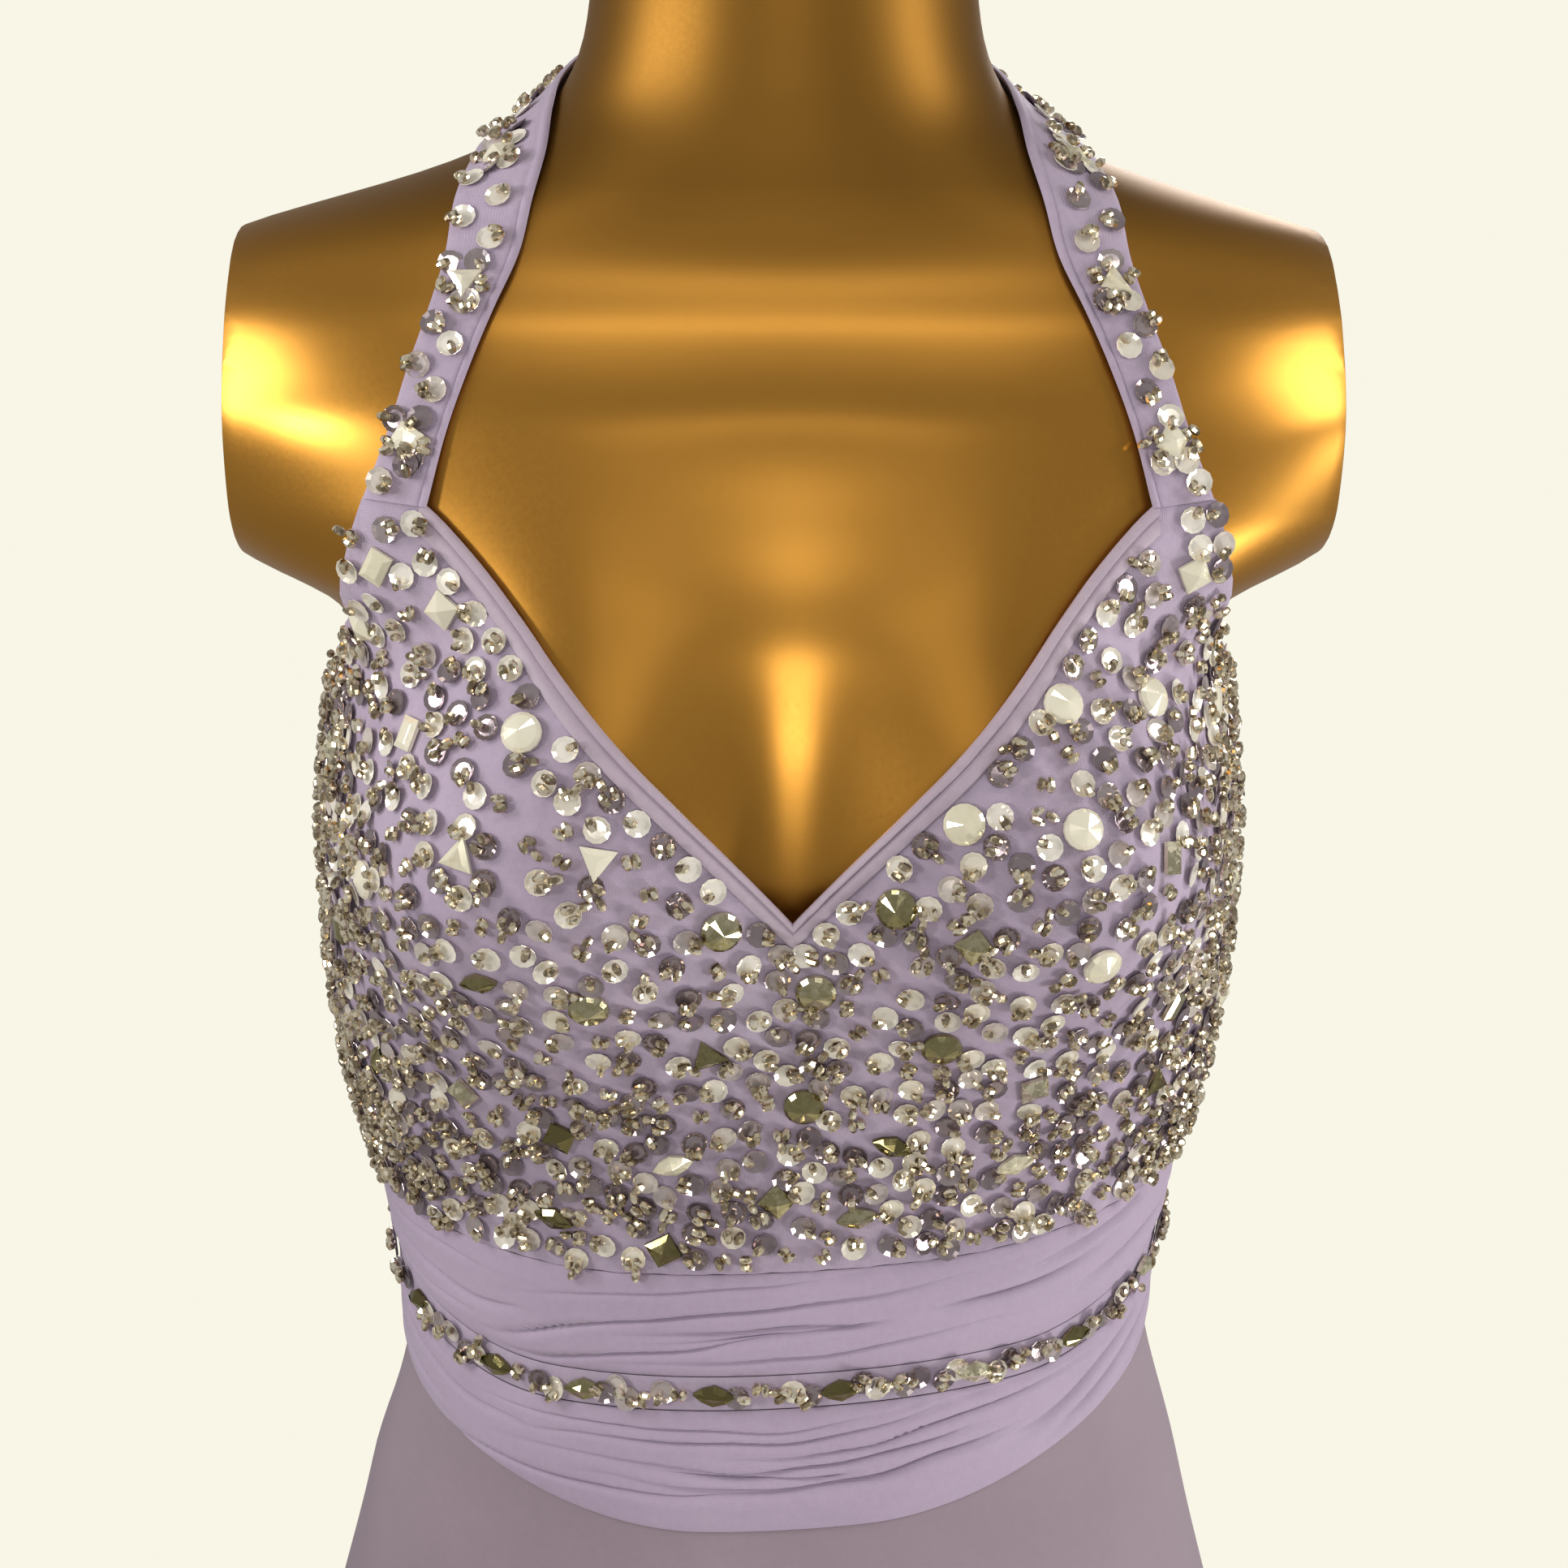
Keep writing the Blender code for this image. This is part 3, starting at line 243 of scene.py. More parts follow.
WAIST_STONES = [
    (-70.0, 8), (-52.0, -6), (-36.2, 5), (-13.3, -4), (10.1, 6), (34.5, -3), (53.0, 6),
    (71.0, -5), (92.0, 4), (112.0, -6), (131.0, 5), (150.0, -4), (168.0, 6), (-90.0, -5),
    (-110.0, 5), (-129.0, -6), (-148.0, 4), (-167.0, -5),
]
STONE_CLEARANCE = {
    "round": 0.0086, "baguette": 0.0074, "triangle": 0.0078, "pillow": 0.0074, "navette": 0.0076,
}


def smooth_step(value):
    value = max(0.0, min(1.0, value))
    return value * value * (3.0 - 2.0 * value)


def draughtsman_curve(xs, ys, x):
    """A monotone cubic through the points, without overshoot."""
    last = len(xs) - 1
    if x <= xs[0]:
        return ys[0]
    if x >= xs[last]:
        return ys[last]
    start = 0
    while xs[start + 1] < x:
        start += 1

    def rise(i):
        return (ys[i + 1] - ys[i]) / (xs[i + 1] - xs[i])

    def slope(i):
        if i == 0 or i == last:
            return rise(min(i, last - 1))
        before, after = rise(i - 1), rise(i)
        return 0.0 if before * after <= 0 else 2 * before * after / (before + after)

    span = xs[start + 1] - xs[start]
    t = (x - xs[start]) / span
    return (
        (2 * t**3 - 3 * t**2 + 1) * ys[start]
        + (t**3 - 2 * t**2 + t) * span * slope(start)
        + (3 * t**2 - 2 * t**3) * ys[start + 1]
        + (t**3 - t**2) * span * slope(start + 1)
    )


SECTION_COLUMNS = list(zip(*SECTIONS))
KNOWN_SECTIONS = {}


def section(height):
    """Half width, front, back and squareness of the body at a height."""
    key = round(height, 5)
    if key not in KNOWN_SECTIONS:
        KNOWN_SECTIONS[key] = [
            draughtsman_curve(SECTION_COLUMNS[0], column, key) for column in SECTION_COLUMNS[1:]
        ]
    return KNOWN_SECTIONS[key]


def oval_radius(angle, half_width, front, back, squareness):
    along = math.cos(math.radians(angle))
    across = math.sin(math.radians(angle))
    depth = front if along > 0 else back
    return (abs(along / depth) ** squareness + abs(across / half_width) ** squareness) ** (
        -1 / squareness
    )


def cup_swell(angle, height, valley):
    away = abs((angle + 180) % 360 - 180)
    if away < CUP_ANGLE:
        share = 1 - valley * math.cos(math.pi / 2 * away / CUP_ANGLE) ** 2
    else:
        share = math.exp(-(((away - CUP_ANGLE) / CUP_SPREAD) ** 2))
    reach = CUP_RISE if height > CUP_HEIGHT else CUP_FALL
    return CUP_DEPTH * share * math.exp(-(((height - CUP_HEIGHT) / reach) ** 2))


def body_radius(angle, height, valley=CLOTH_VALLEY):
    return oval_radius(angle, *section(height)) + cup_swell(angle, height, valley)


def place(angle, radius, height):
    turn = math.radians(angle)
    return Vector((radius * math.sin(turn), -radius * math.cos(turn), height))


def seam_height(seam, angle):
    front_height, side_rise, rise_starts = seam
    skew = SEAM_SKEW * math.sin(math.radians(angle))
    return front_height + side_rise * smooth_step((abs(angle) - rise_starts) / (100.0 - rise_starts)) + skew


def bodice_edge(angle):
    """Height of the bodice's upper edge: straight runs up to the strap, then a curve."""
    away = abs(angle)
    if away <= V_EDGE[-1][0]:
        for low, high in zip(V_EDGE, V_EDGE[1:]):
            if away <= high[0]:
                share = (away - low[0]) / (high[0] - low[0])
                return low[1] + (high[1] - low[1]) * share
    return draughtsman_curve([p[0] for p in SIDE_EDGE], [p[1] for p in SIDE_EDGE], away)


def bodice_radius(angle, height):
    """Outer face of the bodice, with more ease where it spans the hollow under the arm."""
    hollow = smooth_step((height - 1.250) / 0.030) * smooth_step((abs(angle) - 48.0) / 9.0)
    return body_radius(angle, height) + BODICE_REACH + UNDERARM_EASE * hollow


def stepped(start, end, step):
    count = max(1, round((end - start) / step))
    return [start + (end - start) * i / count for i in range(count + 1)]


def with_marks(values, marks):
    """The values, with the nearest ones moved onto the marks, so that corners stay crisp."""
    values = list(values)
    for mark in marks:
        if values[0] < mark < values[-1]:
            nearest = min(range(1, len(values) - 1), key=lambda i: abs(values[i] - mark))
            values[nearest] = mark
    return sorted(set(values))


# Making pieces


def pick_nothing():
    if bpy.context.object and bpy.context.object.mode != "OBJECT":
        bpy.ops.object.mode_set(mode="OBJECT")
    bpy.ops.object.select_all(action="DESELECT")


def pick(piece):
    pick_nothing()
    piece.select_set(True)
    bpy.context.view_layer.objects.active = piece


def open_mesh(action="SELECT"):
    """Into edit mode, with all of the mesh selected or none of it."""
    bpy.ops.object.mode_set(mode="EDIT")
    bpy.ops.mesh.select_all(action=action)


def close_mesh():
    bpy.ops.object.mode_set(mode="OBJECT")


def select_where(piece, kind, test):
    """In edit mode, selects only the edges or faces that pass the test."""
    shape = bmesh.from_edit_mesh(piece.data)
    for part in getattr(shape, kind):
        part.select = test(part)
    bmesh.update_edit_mesh(piece.data)


def curved_sheet(name, columns, rows, point_at, metres=(1.0, 1.0)):
    """A flat grid, shaped point by point into a curved sheet. Its UV map is in metres of cloth."""
    pick_nothing()
    bpy.ops.mesh.primitive_grid_add(
        x_subdivisions=len(columns) - 1, y_subdivisions=len(rows) - 1, size=2, location=(0, 0, 0)
    )
    sheet = bpy.context.object
    sheet.name = sheet.data.name = name
    for corner in sheet.data.vertices:
        column = round((corner.co.x + 1) / 2 * (len(columns) - 1))
        row = round((corner.co.y + 1) / 2 * (len(rows) - 1))
        corner.co = point_at(columns[column], rows[row])
    for loop in sheet.data.uv_layers[0].data:
        loop.uv = (loop.uv[0] * metres[0], loop.uv[1] * metres[1])
    sheet.data.update()
    return sheet


def apply_step(piece, kind, **settings):
    """Adds a modifier, sets it and applies it."""
    step = piece.modifiers.new(kind.lower(), kind)
    for key, value in settings.items():
        setattr(step, key, value)
    pick(piece)
    bpy.ops.object.modifier_apply(modifier=step.name)


def smooth_shading(piece, angle=50.0):
    pick(piece)
    bpy.ops.object.shade_smooth_by_angle(angle=math.radians(angle))


def dress_piece(piece, material, slot, *nodes):
    """Gives a piece its material and its body, and lets it stand for its solids. Its slot is not used."""
    piece.data.materials.clear()
    piece.data.materials.append(material)
    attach(piece, "dress_on_form")
    if nodes:
        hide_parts(*nodes)
    return piece


def sewn(sheet, wall, material, slot, *nodes, crisp=60.0):
    """Gives a curved sheet its wall, on the inner side, and dresses it."""
    apply_step(sheet, "SOLIDIFY", thickness=wall, offset=-1.0, use_even_offset=False)
    smooth_shading(sheet, crisp)
    return dress_piece(sheet, material, slot, *nodes)


# Materials


class Finish:
    """A new material, with short ways to add its nodes and to join them."""

    def __init__(self, name):
        self.material = bpy.data.materials.new(name)
        self.material.use_nodes = True
        self.nodes = self.material.node_tree.nodes
        self.where = self.nodes.new("ShaderNodeTexCoord").outputs

    def join(self, node, inputs):
        """Gives each input a fixed value, or what another node puts out."""
        for key, value in inputs.items():
            if isinstance(value, bpy.types.NodeSocket):
                self.material.node_tree.links.new(value, node.inputs[key])
            else:
                node.inputs[key].default_value = value

    def add(self, kind, inputs, output=0, **settings):
        node = self.nodes.new(f"ShaderNode{kind}")
        for key, value in settings.items():
            setattr(node, key, value)
        self.join(node, inputs)
        return node.outputs[output]

    def surface(self, inputs):
        self.join(self.nodes["Principled BSDF"], inputs)

    def relief(self, height, strength, distance):
        bump = {"Height": height, "Strength": strength, "Distance": distance}
        self.surface({"Normal": self.add("Bump", bump, "Normal")})

    def maths(self, operation, *values):
        return self.add("Math", dict(enumerate(values)), operation=operation)

    def ranged(self, value, before, after, **settings):
        """A value between the first two numbers, moved to between the second two."""
        ends = {"From Min": before[0], "From Max": before[1], "To Min": after[0], "To Max": after[1]}
        return self.add("MapRange", {"Value": value, **ends}, "Result", **settings)

    def spread(self, noise, low, high):
        return self.ranged(noise, (0.3, 0.7), (low, high))

    def speckle(self, scale, detail=2.0, roughness=0.5, vector=None):
        noise = {"Scale": scale, "Detail": detail, "Roughness": roughness}
        return self.add("TexNoise", {"Vector": vector or self.where["Object"], **noise}, "Fac")

    def height(self):
        return self.add("SeparateXYZ", {"Vector": self.where["Object"]}, "Z")

    def own_value(self, name):
        """A value that the mesh carries at its points."""
        return self.add("Attribute", {}, "Fac", attribute_name=name)

    def tones(self, source, stops):
        """Colours along a value: a list of place and colour."""
        ramp = self.nodes.new("ShaderNodeValToRGB")
        ends = ramp.color_ramp.elements
        ends[0].position, ends[0].color = stops[0][0], (*stops[0][1], 1)
        ends[1].position, ends[1].color = stops[-1][0], (*stops[-1][1], 1)
        for where, colour in stops[1:-1]:
            ends.new(where).color = (*colour, 1)
        self.join(ramp, {"Fac": source})
        return ramp.outputs["Color"]

    def blended(self, share, colour, other):
        """The colour, turned into the other one by the share."""
        return self.add("Mix", {0: share, 6: colour, 7: (*other, 1.0)}, 2, data_type="RGBA")


# The colour of the painted shade in the creases of the bands
PAINTED_CREASE_SHADE = (0.09, 0.06, 0.15)
# Painted shade up the neck: the heights over which the gold turns darker, the darker gold, and the roughness
# added there
NECK_SHADE = (1.365, 1.410)
PAINTED_NECK_SHADE_GOLD = (0.235, 0.113, 0.017)
NECK_EXTRA_ROUGHNESS = 0.17


def woven_cloth(name, tones, roughness, sheen, thread, weave, specular=0.3, paints_crease_shade=False):
    """Fine cloth: a thread grid on the sheet's own UV map in metres, with soft shade changes."""
    finish = Finish(name)
    waves = {"Vector": finish.where["UV"], "Scale": 0.314 / thread, "Distortion": 0.6, "Detail": 1.0}
    threads = [finish.add("TexWave", waves, "Fac", wave_type="BANDS", bands_direction=way) for way in "XY"]
    grid = finish.maths("MULTIPLY", *threads)
    fine = finish.speckle(420.0, 3.0, 0.6)
    both = finish.maths("MULTIPLY_ADD", fine, 0.35, finish.speckle(9.0, 4.0, 0.55))
    colour = finish.tones(both, list(zip((0.40, 0.67, 0.95), tones)))
    # Painted shade: the cloth turns darker where the mesh carries the crease's painted shade
    if paints_crease_shade:
        crease = finish.spread(finish.own_value("crease_shade"), 0.0, 1.0)
        colour = finish.blended(crease, colour, PAINTED_CREASE_SHADE)
    finish.surface({
        "Base Color": colour, "Roughness": finish.spread(fine, roughness - 0.06, roughness + 0.08),
        "Sheen Weight": sheen, "Sheen Roughness": 0.45, "Sheen Tint": (0.92, 0.86, 1.0, 1.0),
        "Specular IOR Level": specular,
    })
    finish.relief(finish.maths("MULTIPLY_ADD", fine, 0.5, grid), weave, 0.00035)
    return finish.material


def gold_finish():
    """Satin metallic gold paint, a little uneven in its flow and its shine, with painted shade that darkens
    it up the neck.
    """
    finish = Finish("gold_satin_paint")
    grain = finish.speckle(900.0)
    # Painted shade: above these heights the gold is blended into a darker gold, and made rougher
    neck = finish.ranged(finish.height(), NECK_SHADE, (0.0, 1.0))
    golds = [(0.25, (0.49, 0.232, 0.036)), (0.5, (0.53, 0.255, 0.041)), (0.75, (0.57, 0.280, 0.048))]
    gold = finish.tones(finish.speckle(7.0, 3.0), golds)
    rough = finish.maths("MULTIPLY_ADD", neck, NECK_EXTRA_ROUGHNESS, finish.spread(grain, 0.28, 0.31))
    colour = finish.blended(neck, gold, PAINTED_NECK_SHADE_GOLD)
    finish.surface({"Base Color": colour, "Roughness": rough, "Metallic": 0.92})
    finish.relief(grain, 0.015, 0.0002)
    return finish.material


def brushed_metal(name, dark, light, roughness):
    finish = Finish(name)
    drawn_out = finish.add("Mapping", {"Vector": finish.where["Object"], "Scale": (1.0, 1.0, 14.0)}, "Vector")
    lines = finish.speckle(60.0, 4.0, 0.6, drawn_out)
    finish.surface({
        "Base Color": finish.tones(lines, [(0.3, dark), (0.7, light)]), "Metallic": 1.0,
        "Roughness": finish.spread(lines, roughness - 0.07, roughness + 0.09),
    })
    finish.relief(lines, 0.15, 0.0002)
    return finish.material


def sparkle(name, stops, roughness, metallic, pearly, painted_light_above=None, shift=None, painted_glints=0.0):
    """Sequins, beads and stones: dark mirrors and pale pearly ones. Each copy has a tone of its own; painted
    light makes copies paler above a height, and painted glints fleck the tone in small cells.
    """
    finish = Finish(name)
    tone = finish.own_value("piece_tone")
    # Painted light: above this height the copies are painted paler, as if they caught more light
    if painted_light_above is not None:
        painted_paleness = finish.ranged(finish.height(), (painted_light_above - 0.03, painted_light_above + 0.03), shift)
        tone = finish.maths("ADD", tone, painted_paleness)
    # Painted glints: the tone is mixed with a random tone in tiny cells, so pale and dark specks fleck each
    # copy
    if painted_glints:
        cells = finish.add("TexVoronoi", {"Vector": finish.where["Object"], "Scale": 720.0}, "Color")
        glint = finish.add("SeparateColor", {"Color": cells}, "Red")
        tone = finish.add("Mix", {0: painted_glints, 2: tone, 3: glint})
    finish.surface({
        "Base Color": finish.tones(tone, stops),
        "Roughness": finish.spread(finish.speckle(500.0), roughness, roughness + 0.05),
        "Metallic": finish.ranged(tone, (0.46, 0.60), (metallic, pearly)),
    })
    return finish.material


LILAC_SATIN = woven_cloth(
    "lilac_bodice_cloth", [(0.37, 0.30, 0.41), (0.45, 0.37, 0.49), (0.52, 0.44, 0.56)],
    roughness=0.50, sheen=0.25, thread=0.00045, weave=0.35,
)
LILAC_BINDING = woven_cloth(
    "lilac_satin_binding", [(0.38, 0.31, 0.39), (0.45, 0.37, 0.45), (0.52, 0.44, 0.51)],
    roughness=0.40, sheen=0.30, thread=0.00032, weave=0.20, specular=0.4,
)
# The chiffon of the bands has painted shade in its creases
LILAC_CHIFFON = woven_cloth(
    "lilac_band_chiffon", [(0.38, 0.305, 0.42), (0.435, 0.35, 0.475), (0.48, 0.395, 0.52)],
    roughness=0.60, sheen=0.40, thread=0.00050, weave=0.30, paints_crease_shade=True,
)
LILAC_SKIRT = woven_cloth(
    "lilac_skirt_chiffon", [(0.27, 0.21, 0.25), (0.31, 0.24, 0.285), (0.35, 0.28, 0.325)],
    roughness=0.64, sheen=0.30, thread=0.00050, weave=0.30,
)
GOLD_PAINT = gold_finish()
STEEL = brushed_metal("brushed_steel", (0.42, 0.42, 0.43), (0.62, 0.62, 0.63), 0.30)
ZIP_METAL = brushed_metal("lilac_enamelled_zip_metal", (0.36, 0.30, 0.42), (0.50, 0.44, 0.56), 0.34)
# The sequins are painted paler above 1.16 m, painted light on the upper ones
SEQUIN_FOIL = sparkle(
    "silver_mauve_sequin",
    [
        (0.0, (0.29, 0.235, 0.265)), (0.42, (0.43, 0.365, 0.39)), (0.58, (0.62, 0.555, 0.54)),
        (0.72, (0.86, 0.81, 0.69)), (1.0, (0.95, 0.92, 0.84)),
    ],
    roughness=0.10, metallic=0.75, pearly=0.30, painted_light_above=1.160, shift=(-0.12, 0.10),
)
# The beads carry strong painted glints
SILVER_LINED_GLASS = sparkle(
    "silver_lined_glass",
    [
        (0.0, (0.23, 0.18, 0.115)), (0.36, (0.50, 0.41, 0.28)), (0.62, (0.80, 0.70, 0.50)),
        (1.0, (0.97, 0.93, 0.80)),
    ],
    roughness=0.08, metallic=0.95, pearly=0.75, painted_glints=0.75,
)
# The stones are painted paler above 1.215 m, painted light on the upper ones
FOILED_CRYSTAL = sparkle(
    "foiled_crystal",
    [
        (0.0, (0.22, 0.19, 0.08)), (0.30, (0.42, 0.38, 0.20)), (0.52, (0.80, 0.75, 0.55)),
        (1.0, (0.95, 0.91, 0.74)),
    ],
    roughness=0.06, metallic=0.95, pearly=0.30, painted_light_above=1.215, shift=(-0.30, 0.45), painted_glints=0.12,
)


# The dress form and its stand


def dress_form():
    """The limbless form: rings from the hips to the neck, cut flat at the two arm plates."""
    heights = stepped(FORM_BOTTOM, 1.05, 0.010) + stepped(1.055, 1.260, 0.005)
    heights += stepped(1.2635, 1.4365, 0.0032) + stepped(1.440, NECK_TOP, 0.005)
    angles = stepped(-180.0, 180.0, 2.5)
    form = curved_sheet(
        "dress_form", angles, heights,
        lambda angle, height: place(angle, body_radius(angle, height, FORM_VALLEY), height),
        (0.9, 0.69),
    )
    open_mesh()
    bpy.ops.mesh.remove_doubles(threshold=0.00005)
    bpy.ops.mesh.select_all(action="SELECT")
    bpy.ops.mesh.vertices_smooth(factor=0.5, repeat=3)
    for side in (-1, 1):
        bpy.ops.mesh.select_all(action="SELECT")
        bpy.ops.mesh.bisect(
            plane_co=(side * ARM_PLATE_X, 0, 0), plane_no=(side, 0, 0), use_fill=True, clear_outer=True
        )
    bpy.ops.mesh.select_all(action="DESELECT")
    bpy.ops.mesh.select_non_manifold(extend=False)
    bpy.ops.mesh.fill_holes(sides=0)
    bpy.ops.mesh.select_all(action="SELECT")
    bpy.ops.mesh.normals_make_consistent(inside=False)
    close_mesh()
    apply_step(form, "BEVEL", width=0.0016, segments=3, limit_method="ANGLE", angle_limit=math.radians(50))
    smooth_shading(form, 40.0)
    dress_piece(form, GOLD_PAINT, "gold_paint", "form_torso")


# Cloth panels


def bodice_panel(part, start, end):
    """One panel of the bodice. The cloth pulls softly between the beads."""
    angles = with_marks(stepped(start, end, 1.5), [-57.8, -56.5, -50.7, 0.0, 50.7, 56.5, 57.8])

    def shaped(angle, share):
        low = seam_height(UNDERBUST_SEAM, angle) + SEAM_GAP / 2
        height = low + (bodice_edge(angle) - low) * share
        pull = BODICE_PULL * math.sin(angle * 0.9 + height * 210) * math.sin(height * 330 - angle * 0.35)
        return place(angle, bodice_radius(angle, height) - BODICE_INSET + pull, height)

    panel = curved_sheet(
        f"bodice_{part}_cloth", angles, stepped(0.0, 1.0, 1 / 44), shaped,
        (0.44 if part == "front" else 0.20, 0.15),
    )
    return sewn(panel, BODICE_WALL, LILAC_SATIN, "beaded_cloth", f"bodice_{part}", crisp=50.0)


# Across the binding: drop below the edge, and lift off the bodice's face
BINDING_PROFILE = [
    (0.0076, 0.0001), (0.0074, 0.0006), (0.0062, 0.0009), (0.0044, 0.0010), (0.0029, 0.0008),
    (0.0024, 0.0003), (0.0020, 0.0008), (0.0013, 0.0015), (0.0004, 0.0014), (-0.0004, 0.0008),
    (-0.0006, 0.0000), (-0.0004, -0.0010), (0.0006, -0.0016), (0.0030, -0.0018),
]


def neckline_binding():
    """The satin binding of the V: turned over the edge, stitched down beside a fine piping."""
    angles = with_marks(stepped(-50.7, 50.7, 1.1), [0.0])

    def shaped(angle, across):
        drop, lift = across
        height = bodice_edge(angle) - drop
        return place(angle, bodice_radius(angle, height) + lift, height)

    binding = curved_sheet("neckline_binding_satin", angles, BINDING_PROFILE, shaped, (0.29, 0.015))
    return sewn(binding, BINDING_WALL, LILAC_BINDING, "satin", "neckline_binding")


def crease_relief(creases, angle, share):
    """How deep the cloth lies, how far the pleat above hangs over it, and the painted shade of the crease."""
    depth, droop, dark = 0.0, 0.0, 0.0
    for deep, half_height, deepest, line in creases:
        left, right = line[0][0], line[-1][0]
        if not left - 4 < angle < right + 4:
            continue
        centre = draughtsman_curve([p[0] for p in line], [p[1] for p in line], angle)
        centre += 0.006 * math.sin(angle * 0.31 + deepest)
        off = (share - centre) / half_height
        if abs(off) > 5:
            continue
        end = left - 4 if angle < deepest else right + 4
        strength = smooth_step(1.15 * (angle - end) / (deepest - end)) if deepest != end else 1.0
        crease = math.exp(-off * off * 2.2) if off > 0 else math.exp(-((off / 2.2) ** 2))
        depth += deep * strength * crease
        droop += 0.60 * deep * strength * math.exp(-(((off - 1.1) / 0.8) ** 2))
        # Painted shade along the crease's line, stronger where the crease is deeper
        dark = max(dark, min(1.0, deep / 0.0014) * strength * math.exp(-(((off - 0.15) / 0.85) ** 2)))
    return min(1.2 * depth, 0.0028), min(droop, 0.0012) * min(1.0, 12 * share, 12 * (1 - share)), dark


def band_panel(name, part, start, end, seams, creases, crown, material, slot, rows, columns_step):
    low_seam, high_seam = seams
    painted_crease_shades = []

    def shaped(angle, share):
        low = seam_height(low_seam, angle) + SEAM_GAP / 2
        high = seam_height(high_seam, angle) - SEAM_GAP / 2
        height = low + (high - low) * share
        puff = crown * min(1.0, 5 * share, 5 * (1 - share)) ** 0.5
        depth, droop, dark = crease_relief(creases, angle, share)
        painted_crease_shades.append(dark)
        return place(angle, body_radius(angle, height) + BAND_REACH + puff - depth, height - droop)

    panel = curved_sheet(
        f"{name}_{part}_cloth", stepped(start, end, columns_step), stepped(0.0, 1.0, 1 / rows), shaped,
        ((0.34 if part == "front" else 0.17), 0.036),
    )
    # Each point carries its painted crease shade, which the cloth's material turns into colour
    panel.data.attributes.new("crease_shade", "FLOAT", "POINT").data.foreach_set("value", painted_crease_shades)
    return sewn(panel, BAND_SHEET_WALL, material, slot, f"{name}_{part}")


def flute_relief(angle, height):
    lift = 0.0
    for centre, half_width, depth, top in FLUTES:
        away = abs((angle - centre + 180) % 360 - 180) / half_width
        if away < 1 and height < top:
            drop = (top - height) / (top - HEM_HEIGHT)
            lift += depth * drop**1.25 * (0.5 + 0.5 * math.cos(math.pi * away))
    return lift


def soft_fold_relief(angle, height):
    lift = 0.0
    for centre, half_width, depth, top, bottom in SOFT_FOLDS:
        away = ((angle - centre + 180) % 360 - 180) / half_width
        if abs(away) > 2.5 or not bottom < height < top:
            continue
        along = math.sin(math.pi * ((top - height) / (top - bottom)) ** 0.7)
        lift += depth * along * math.exp(-away * away)
    return lift


def skirt_radius(angle, height):
    """The cloth falls from the seam to the hem, and rests on the hips where they reach it."""
    top = seam_height(SKIRT_SEAM, angle)
    share = (top - height) / (top - HEM_HEIGHT)
    start = body_radius(angle, top) + 0.0012
    hem = oval_radius(angle, HEM_HALF_WIDTH, HEM_FRONT, HEM_BACK, 2.0)
    falling = start + (hem - start) * max(0.0, share) ** 1.15
    hips = body_radius(angle, height) + 0.0012 if height > FORM_BOTTOM else 0.0
    blend = 0.012 * smooth_step(share / 0.05)
    return (falling + hips + math.hypot(falling - hips, blend)) / 2 + flute_relief(angle, height)


def skirt_panel(part, start, end):
    rows = [1 - share for share in reversed(
        stepped(0.0, 0.12, 0.006) + stepped(0.13, 0.985, 0.0125) + [0.990, 0.992, 0.994, 0.9965, 1.0]
    )]

    def shaped(angle, share):
        top = seam_height(SKIRT_SEAM, angle) - SEAM_GAP / 2
        height = HEM_HEIGHT + (top - HEM_HEIGHT) * share
        rolled = 0.0008 if share < 0.0075 else 0.0
        radius = skirt_radius(angle, height) + SKIRT_WALL + soft_fold_relief(angle, height) + rolled
        return place(angle, radius, height)

    panel = curved_sheet(
        f"skirt_{part}_cloth", stepped(start, end, 1.25), rows, shaped,
        ((1.15 if part == "front" else 0.6), 1.04),
    )
    return sewn(panel, SKIRT_SHEET_WALL, LILAC_SKIRT, "chiffon", f"skirt_{part}")


# Straps


def spline_through(points, steps):
    ends = [2 * points[0] - points[1]] + points + [2 * points[-1] - points[-2]]
    made = []
    for i in range(len(points) - 1):
        before, start, end, after = ends[i : i + 4]
        for step in range(steps):
            t = step / steps
            made.append(
                0.5 * (2 * start + (end - before) * t + (2 * before - 5 * start + 4 * end - after) * t**2
                       + (3 * start - before - 3 * end + after) * t**3)
            )
    return made + [points[-1].copy()]


def strap_lines(sign, lap_lift):
    """Neck-side edge, middle and arm-side edge of a strap, on its under face."""
    lines = [[], [], []]
    for index, (inner_angle, inner_height, outer_angle, outer_height) in enumerate(STRAP_STATIONS):
        radii, angles, heights = [], [], []
        for share in (0.0, 0.5, 1.0):
            angle = inner_angle + (outer_angle - inner_angle) * share
            height = inner_height + (outer_height - inner_height) * share
            lift = STRAP_STANDOFF
            if index == 0:
                lift = bodice_radius(angle, height) - body_radius(angle, height) - STRAP_TUCK
            lap = lap_lift if inner_angle > 160.0 else 0.0
            radii.append(body_radius(angle, height, FORM_VALLEY) + lift + lap)
            angles.append(angle)
            heights.append(height)
        radii[1] = max(radii[1], (radii[0] + radii[2]) / 2)
        for line, angle, radius, height in zip(lines, angles, radii, heights):
            line.append(place(sign * angle, radius, height))
    return [spline_through(line, 8) for line in lines]


def strap_frames(sign, lap_lift):
    """Points across each step of the strap, its outward normal and its direction."""
    inner, middle, outer = strap_lines(sign, lap_lift)
    frames = []
    for i in range(len(inner)):
        ahead, behind = middle[min(i + 1, len(middle) - 1)], middle[max(i - 1, 0)]
        along = (ahead - behind).normalized()
        normal = ((outer[i] - inner[i]).cross(along) * sign).normalized()
        frames.append((inner[i], middle[i], outer[i], normal, along))
    return frames


